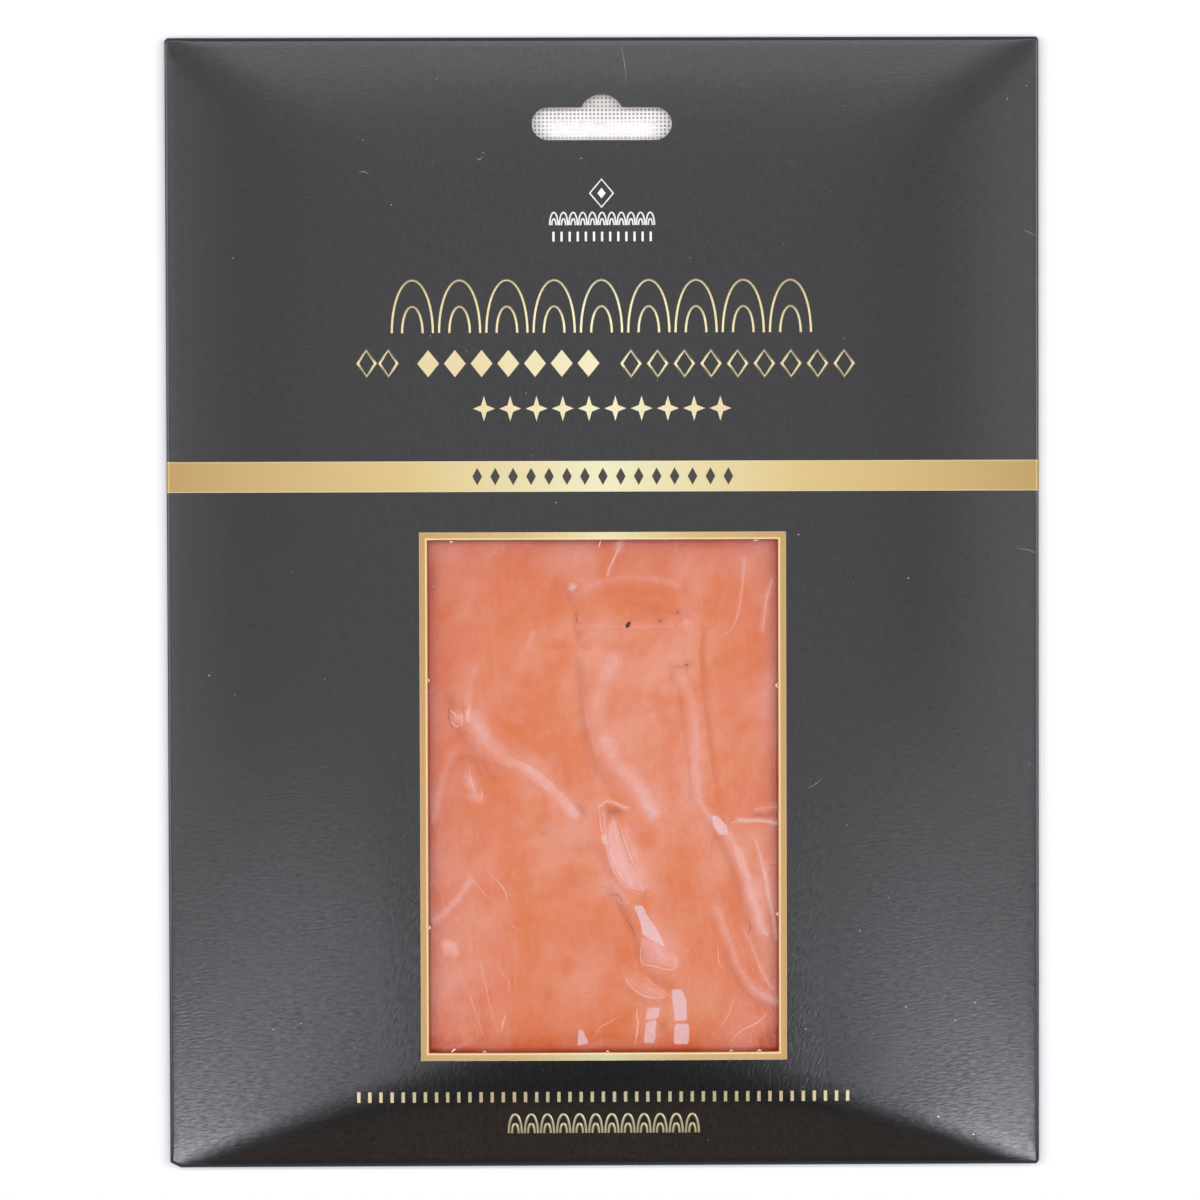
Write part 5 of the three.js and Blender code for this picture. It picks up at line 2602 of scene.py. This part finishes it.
CARD_SCRATCHES = (
    Bead(((96.6, 85.2), (98.2, 84.6), (99.2, 83.9)), 0.14),
    Bead(((4.4, 127.6), (5.2, 123.6), (5.6, 119.6)), 0.12),
    Bead(((94.8, 12.2), (97.6, 12.0), (99.2, 11.2)), 0.14),
    Bead(((46.4, -42.6), (48.4, -41.6), (49.8, -40.4)), 0.12),
    Bead(((-55.6, 98.6), (-54.4, 98.8), (-53.2, 98.2)), 0.16),
    Bead(((-28.8, 101.9), (-28, 101.2), (-27.4, 102.2)), 0.2),
    Bead(((-31.4, 58.2), (-30.8, 57.4)), 0.18),
)


@dataclass(frozen=True)
class ShinyPatch:
    """A flat spot of the film that mirrors a lamp: its corners in millimetres and its strength."""

    strength: float
    corners: tuple[Point, ...]
    corner_share: float = 0.12

    def loop(self, spacing: float) -> np.ndarray:
        """Give the outline with slightly cut corners and a point at every spacing."""
        return walk(cut_corners(to_metres(self.corners), self.corner_share, 1), spacing)


@dataclass
class FilmFlats:
    """The shiny patches, lying on the film as one piece."""

    filling: SalmonFilling
    patches: tuple[ShinyPatch, ...] = (
        ShinyPatch(0.3, (
            (2.3, -48.8), (0.9, -51.4), (0.6, -54.8), (1.2, -57.6),
            (2.9, -62.1), (5.7, -65.7), (9.0, -66.3),
            (9.5, -65.4), (7.9, -62.6), (5.7, -59.3), (4.8, -56.5), (3.7, -53.7),
        )),
        ShinyPatch(0.86, (
            (6.4, -69.3), (7.5, -71.5), (8.3, -73.8), (8.6, -76), (10.2, -77.1), (13, -79), (14.4, -79.3),
            (11.6, -74), (9.7, -71.5), (8.8, -69.3),
        )),
        ShinyPatch(0.16, (
            (8.4, -76.2), (8.2, -79), (8.4, -82.6), (12, -82.8),
            (15.8, -83.8), (16.6, -82), (14.8, -79.8),
        )),
        ShinyPatch(0.12, (
            (-1, -66.4), (1.4, -66.6), (3.4, -69), (6.6, -69.2), (4.6, -66.6), (2.4, -63.4), (0.4, -62),
        )),
        ShinyPatch(0.7, ((24.6, -48.6), (25, -51.1), (26.2, -53.3),
                         (28.5, -53.3), (28.2, -51.1), (26, -48.8))),
        ShinyPatch(0.84, ((15.2, -88.7), (15.6, -92.5), (16, -96.1),
                          (18.9, -95.9), (18.8, -90.9), (17.7, -88.6))),
        ShinyPatch(0.8, ((16, -96.5), (15.7, -101.4), (19.3, -101.4), (19.5, -96.6))),
        ShinyPatch(0.6, ((9.9, -92.8), (9.1, -95.9), (12.4, -95.3), (12.7, -92.8))),
        ShinyPatch(0.72, ((9.4, -96.1), (8.8, -101.1), (11.6, -101.1), (11.9, -95.5))),
        ShinyPatch(0.8, ((-6.1, -97.8), (-6.4, -101.7), (-3.6, -101.1), (-5, -98))),
    )
    rise: float = 0.04 * MM
    spacing: float = 0.5 * MM
    reach: float = 1.02

    def build(self) -> bpy.types.Object:
        """Make the patches.

        Returns:
            The finished piece.
        """
        mesh = PieceMesh()
        loops = [patch.loop(self.spacing) for patch in self.patches]
        for loop in loops:
            domain = FlatDomain(loop, spacing=self.spacing)
            mesh.slab(domain, domain, self.top, self.bottom)
        made = mesh.make("film_flats", [PatchShine().make()])
        rings = [closed(loop) for loop in loops]
        store_field(made, "brim", lambda p: np.min([distance_to(ring, p[:, :2]) for ring in rings], axis=0))
        store_field(made, "strength", lambda p: self.strength(loops, p[:, :2]))
        book(made, "film_and_fish")
        return made

    def strength(self, loops: list[np.ndarray], points: np.ndarray) -> np.ndarray:
        """Give the strength of the patch that each place belongs to.

        Args:
            loops: Outlines of the patches.
            points: The places.

        Returns:
            The strength at each place.
        """
        share = np.zeros(len(points))
        for patch, loop in zip(self.patches, loops):
            middle = np.mean(loop, axis=0)
            grown = middle + (loop - middle) * self.reach
            share = np.where(is_inside(grown, points), patch.strength, share)
        return share

    def top(self, x: np.ndarray, y: np.ndarray) -> np.ndarray:
        """Height of a patch's upper face."""
        return self.filling.film_face(x, y) + self.rise

    def bottom(self, x: np.ndarray, y: np.ndarray) -> np.ndarray:
        """Height of a patch's lower face."""
        return self.filling.film_face(x, y) - self.rise


@dataclass
class SealStrip:
    """The pouch's sealed top margin, whose embossed white film shows in the hang slot."""

    form: PackForm
    half_width: float = 30 * MM
    ends: Point = (98 * MM, 118 * MM)
    edge_spacing: float = 2 * MM
    top_spacing: float = 1.2 * MM
    bottom_spacing: float = 6 * MM
    drop: float = 0.12 * MM
    base_lift: float = 0.1 * MM
    wave: float = 0.05 * MM
    wave_size: Point = (4.1 * MM, 2.3 * MM)
    pitch: float = 0.9 * MM
    dot: float = 0.3 * MM
    dot_flatness: float = 0.4
    dot_field: Point = (36 * MM, 14.4 * MM)
    dot_shift: float = 1.5 * MM

    def top(self, x: np.ndarray, y: np.ndarray) -> np.ndarray:
        """Height of the strip, slightly wavy.

        Args:
            x: Places across the pack.
            y: Places along the pack.

        Returns:
            The height at each place.
        """
        across, along = self.wave_size
        wave = self.wave * np.sin(x / across) * np.cos(y / along)
        return np.full_like(x, self.form.pouch_base + self.form.seal - self.drop) + wave

    def bottom(self, x: np.ndarray, y: np.ndarray) -> np.ndarray:
        """Height of the strip's underside."""
        return np.full_like(x, self.form.pouch_base + self.base_lift)

    def build(self) -> None:
        """Make the strip and the dots embossed in it."""
        low, high = self.ends
        side = self.half_width
        corners = np.array([(-side, low), (side, low), (side, high), (-side, high)])
        loop = walk(corners, self.edge_spacing)
        upper = FlatDomain(loop, spacing=self.top_spacing)
        lower = FlatDomain(loop, spacing=self.bottom_spacing)
        mesh = PieceMesh()
        mesh.slab(upper, lower, self.top, self.bottom)
        pearl = EmbossedFilm("pearl_film", 0.93, self.form.slot_centre[1])
        book(mesh.make("seal_strip", [pearl.make()]), "film_and_fish")
        self.dots()

    def dot_tree(self) -> GeoTree:
        """Build the tree of the dots: a grid of points that carry small domes.

        Returns:
            The tree, with inputs for the grid's size and numbers of points and the dots' radius.
        """
        tree = GeoTree("embossed_dots")
        columns, rows = tree.value("Columns", True), tree.value("Rows", True)
        across, along, radius = (tree.value(name) for name in ("Across", "Along", "Radius"))
        sizes = {"Size X": across, "Size Y": along, "Vertices X": columns, "Vertices Y": rows}
        grid = tree.node("GeometryNodeMeshGrid", None, sizes).outputs[0]
        middle = (0, self.form.slot_centre[1] + self.dot_shift, 0)
        moved = tree.moved(grid, Translation=middle)
        dome = tree.node("GeometryNodeMeshIcoSphere", None, {"Radius": 1.0, "Subdivisions": 2}).outputs[0]
        squat = tree.moved(dome, Scale=(1, 1, self.dot_flatness))
        placed = tree.placed(moved, squat, tree.vector(radius, radius, radius))
        # The dots' grey tone is painted shade of the embossing.
        tree.finish(placed, EmbossedFilm("shaded_dot_film", 0.34, self.form.slot_centre[1]).make())
        return tree

    def dots(self) -> None:
        """Make the embossed dots."""
        width, height = self.dot_field
        values = {
            "Columns": round(width / self.pitch) + 1,
            "Rows": round(height / self.pitch) + 1,
            "Across": width,
            "Along": height,
            "Radius": self.dot,
        }
        tree = self.dot_tree()
        made = blank_object("seal_dots")
        made.data = tree.run(made, values)
        settle(made.data, self.top)
        book(made, "film_and_fish")


@dataclass
class Specks:
    """Small pale specks scattered over a surface: dust on the card, glints on the film."""

    name: str
    low: Point
    high: Point
    surface: Height
    material: bpy.types.Material
    slot: str
    density: float
    size: float
    seed: int
    openings: tuple[np.ndarray, ...] = ()
    least: float = 0.25
    rarity: float = 5.0
    base_share: float = 0.3
    flatness: float = 0.5

    def tree(self) -> GeoTree:
        """Build the tree that scatters the specks over a rectangle.

        Returns:
            The tree, with inputs for the number in a square metre, the largest size and the seed.
        """
        tree = GeoTree(f"{self.name}_scatter")
        density, size = tree.value("Density"), tree.value("Size")
        seed = tree.value("Seed", True)
        across, along = (high - low for low, high in zip(self.low, self.high))
        middle = tuple((high + low) / 2 for low, high in zip(self.low, self.high))
        sizes = {"Size X": across, "Size Y": along, "Vertices X": 2, "Vertices Y": 2}
        sheet = tree.node("GeometryNodeMeshGrid", None, sizes).outputs[0]
        points = tree.node(
            "GeometryNodeDistributePointsOnFaces",
            {"distribute_method": "RANDOM"},
            {"Mesh": tree.moved(sheet, Translation=(*middle, 0)), "Density": density, "Seed": seed},
        ).outputs[0]
        speck = tree.node("GeometryNodeMeshIcoSphere", None, {"Radius": 1.0, "Subdivisions": 1}).outputs[0]
        ends = {2: self.least, 3: 1.0, "Seed": seed}
        spread = tree.node("FunctionNodeRandomValue", {"data_type": "FLOAT"}, ends).outputs[1]
        share = tree.maths("ADD", tree.maths("POWER", spread, self.rarity), self.base_share)
        scale = tree.maths("MULTIPLY", share, size)
        squat = tree.vector(scale, scale, tree.maths("MULTIPLY", scale, self.flatness))
        tree.finish(tree.placed(points, speck, squat), self.material)
        return tree

    def build(self) -> bpy.types.Object:
        """Make the specks, none of them in an opening.

        Returns:
            The finished piece.
        """
        made = blank_object(self.name)
        made.data = self.tree().run(made, {"Density": self.density, "Size": self.size, "Seed": self.seed})
        self.clear_openings(made.data)
        settle(made.data, self.surface)
        book(made, self.slot)
        return made

    def clear_openings(self, mesh: bpy.types.Mesh) -> None:
        """Remove the specks that fall in an opening.

        Args:
            mesh: The specks.
        """
        work = bmesh.new()
        work.from_mesh(mesh)
        places = np.array([vertex.co[:2] for vertex in work.verts])
        inside = np.zeros(len(places), dtype=bool)
        for opening in self.openings:
            inside |= is_inside(opening, places)
        front = [vertex for vertex, gone in zip(work.verts, inside) if gone]
        doomed = set(front)
        while front:
            vertex = front.pop()
            linked = {edge.other_vert(vertex) for edge in vertex.link_edges} - doomed
            doomed |= linked
            front += linked
        bmesh.ops.delete(work, geom=list(doomed), context="VERTS")
        work.to_mesh(mesh)
        work.free()


COOL = (0.985, 0.99, 1.02)
COLD = (0.97, 0.975, 1.07)
WARM = (1.0, 0.62, 0.38)


@dataclass(frozen=True)
class SoftLamp:
    """A rectangular lamp: its place, target, size and radiance, and its spin about its beam in degrees."""

    name: str
    place: tuple[float, float, float]
    target: tuple[float, float, float]
    size: Point
    radiance: float
    spin: float = 0.0
    tint: tuple[float, float, float] = (1.0, 1.0, 1.0)

    def build(self) -> None:
        """Make the lamp."""
        data = bpy.data.lights.new(self.name, "AREA")
        data.shape = "RECTANGLE"
        data.size, data.size_y = self.size
        data.energy = self.radiance * math.pi * self.size[0] * self.size[1]
        data.color = self.tint
        lamp = bpy.data.objects.new(self.name, data)
        aim = Vector(self.target) - Vector(self.place)
        turn = aim.to_track_quat("-Z", "Y").to_matrix().to_4x4()
        turn = turn @ Matrix.Rotation(math.radians(self.spin), 4, "Z")
        lamp.matrix_world = Matrix.Translation(self.place) @ turn
        bpy.context.scene.collection.objects.link(lamp)


@dataclass
class Studio:
    """Pale floor, soft lamps and the camera above the pack."""

    camera_place: tuple[float, float, float] = (-0.0116, 0.0253, 1.0)
    camera_tilt: tuple[float, float, float] = (-1.41, -0.62, -0.19)
    lens: float = 130.56
    sensor: float = 36.0
    lamps: tuple[SoftLamp, ...] = (
        SoftLamp("key_left", (-1.1, 0.15, 1.1), (0, 0, 0), (0.9, 0.9), 3.5),
        SoftLamp("key_right", (1.1, 0.15, 1.1), (0, 0, 0), (0.9, 0.9), 3.5),
        SoftLamp("sky_panel", (0.0, 0.12, 1.3), (0, 0.12, 0), (0.62, 0.66), 1.4, 0, COOL),
        SoftLamp("far_strip", (0.0, 0.56, 1.3), (0, 0.56, 0), (1.2, 0.16), 4.4, 0, COOL),
        SoftLamp("left_strip", (-0.44, 0.1, 1.3), (-0.44, 0.1, 0), (0.16, 0.66), 2.6, 0, COOL),
        SoftLamp("right_strip", (0.44, 0.1, 1.3), (0.44, 0.1, 0), (0.16, 0.66), 2.6, 0, COOL),
        SoftLamp("low_left", (-0.392, -0.458, 1.3), (-0.392, -0.458, 0), (0.165, 0.30), 12.9, 0, COLD),
        SoftLamp("low_right", (0.398, -0.452, 1.3), (0.398, -0.452, 0), (0.155, 0.31), 13.8, 0, COLD),
        SoftLamp("mid_left", (-0.25, -0.215, 1.3), (-0.25, -0.215, 0), (0.15, 0.17), 5.4, 0, COLD),
        SoftLamp("mid_right", (0.27, -0.2, 1.3), (0.27, -0.2, 0), (0.15, 0.15), 4.0, 0, COLD),
        SoftLamp("near_strip", (0.0, -0.8, 1.3), (0.0, -0.8, 0), (0.6, 0.06), 1.6, 0, WARM),
    )

    floor_half: float = 1.6
    floor_level: float = -0.04 * MM
    floor: PlainFinish = PlainFinish("studio_floor", grey(0.97), 0.9, 0.009, 90 * MM, 0.0)
    air: Colour = (0.97, 0.98, 1.0, 1.0)
    air_strength: float = 0.12

    def build(self) -> None:
        """Make the camera, the floor, the lamps and the even light round them."""
        self.camera()
        self.ground()
        for lamp in self.lamps:
            lamp.build()
        world = bpy.data.worlds.new("studio_air")
        world.use_nodes = True
        background = world.node_tree.nodes["Background"]
        background.inputs["Color"].default_value = self.air
        background.inputs["Strength"].default_value = self.air_strength
        bpy.context.scene.world = world

    def camera(self) -> None:
        """Make the camera and set how its picture is shown."""
        scene = bpy.context.scene
        data = bpy.data.cameras.new("camera")
        data.lens, data.sensor_width = self.lens, self.sensor
        camera = bpy.data.objects.new("camera", data)
        pitch, yaw, roll = (math.radians(angle) for angle in self.camera_tilt)
        turn = Matrix.Rotation(pitch, 4, "X") @ Matrix.Rotation(yaw, 4, "Y") @ Matrix.Rotation(roll, 4, "Z")
        camera.matrix_world = Matrix.Translation(self.camera_place) @ turn
        scene.collection.objects.link(camera)
        scene.camera = camera
        scene.view_settings.view_transform = "Standard"

    def ground(self) -> None:
        """Make the floor, just below the pack."""
        mesh = bpy.data.meshes.new("floor")
        half, level = self.floor_half, self.floor_level
        corners = [(-half, -half, level), (half, -half, level), (half, half, level), (-half, half, level)]
        mesh.from_pydata(corners, [], [(0, 1, 2, 3)])
        mesh.materials.append(self.floor.make())
        floor = blank_object("floor", mesh)


@dataclass
class SmallMarks:
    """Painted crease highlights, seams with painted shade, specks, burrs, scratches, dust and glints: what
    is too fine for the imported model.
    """

    form: PackForm
    filling: SalmonFilling
    burr_lift: float = 0.2 * MM
    dust_share: float = 0.985
    window_margin: float = 2.5 * MM
    # Pale crease lines: painted highlight.
    crease: Glaze = Glaze("film_crease_highlight", (0.78, 0.48, 0.37, 1.0), 0.62)
    # Dark seam lines: partly the seams' colour, partly painted shade.
    seam: Glaze = Glaze("fish_seam_shadow", (0.42, 0.08, 0.035, 1.0), 0.6, 0.4)
    speck: PlainFinish = PlainFinish("dark_speck", (0.045, 0.018, 0.01, 1.0), 0.5)
    burr: PlainFinish = PlainFinish("card_burr", (0.86, 0.72, 0.56, 1.0), 0.7)
    scratch: Glaze = Glaze("card_scratch", (0.45, 0.45, 0.47, 1.0), 0.5, 0.5)
    scratch_flatness: float = 0.2
    dust: PlainFinish = PlainFinish("pale_dust", grey(0.6), 0.9)
    glint: PlainFinish = PlainFinish("film_glint", (0.84, 0.58, 0.48, 1.0), 0.3)

    def rim(self, x: np.ndarray, y: np.ndarray) -> np.ndarray:
        """Height of the window's cut edge, halfway through the card."""
        return self.form.front_inside(x, y) + self.burr_lift

    def lines(self) -> None:
        """Make what is drawn along paths: painted crease highlights, seams with painted shade, dark specks,
        burrs and scratches.
        """
        form, film, fish = self.form, self.filling.film_face, self.filling.fish_face
        slot = "film_and_fish"
        Beading("film_crease_highlights", FILM_CREASE_HIGHLIGHTS, film, self.crease.make(), slot).build()
        Beading("fish_seam_shadows", FISH_SEAM_SHADOWS, fish, self.seam.make(), slot).build()
        Beading("dark_specks", DARK_SPECKS, film, self.speck.make(), slot).build()
        Beading("window_burrs", CUT_BURRS, self.rim, self.burr.make(), "card").build()
        scratch = self.scratch.make()
        flat = self.scratch_flatness
        Beading("card_scratches", CARD_SCRATCHES, form.front, scratch, "card", flat).build()

    def specks(self) -> None:
        """Make what is scattered: the card's dust and the film's glints."""
        self.card_dust().build()
        self.film_glints().build()

    def card_dust(self) -> Specks:
        """Plan the dust on the card.

        Returns:
            The dust, clear of the window and the slot.
        """
        high = (self.form.half_width * self.dust_share, self.form.half_height * self.dust_share)
        return Specks(
            name="card_dust",
            low=(-high[0], -high[1]),
            high=high,
            surface=self.form.front,
            material=self.dust.make(),
            slot="card",
            density=2600.0,
            size=0.16 * MM,
            seed=11,
            openings=(inset(self.form.window, -self.window_margin), self.form.slot),
        )

    def film_glints(self) -> Specks:
        """Plan the bright points of the film in the window.

        Returns:
            The glints.
        """
        corners = self.form.window
        return Specks(
            name="film_glints",
            low=tuple(corners[0]),
            high=tuple(corners[2]),
            surface=self.filling.film_face,
            material=self.glint.make(),
            slot="film_and_fish",
            density=9000.0,
            size=0.15 * MM,
            seed=5,
        )


def main() -> None:
    """Build the pack and its studio in order."""
    logging.basicConfig(level=logging.INFO, format="%(name)s: %(message)s")
    _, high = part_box("card_sleeve")
    form = PackForm(half_width=high[0], half_height=high[1], thickness=high[2])
    Studio().build()
    CardSleeve(form).build()
    foil = FoilPrint(form)
    foil.band()
    foil.frame()
    Ornaments(form).build()
    filling = SalmonFilling(form)
    filling.build()
    FilmFlats(filling).build()
    marks = SmallMarks(form, filling)
    marks.lines()
    SealStrip(form).build()
    marks.specks()


if __name__ == "__main__":
    main()
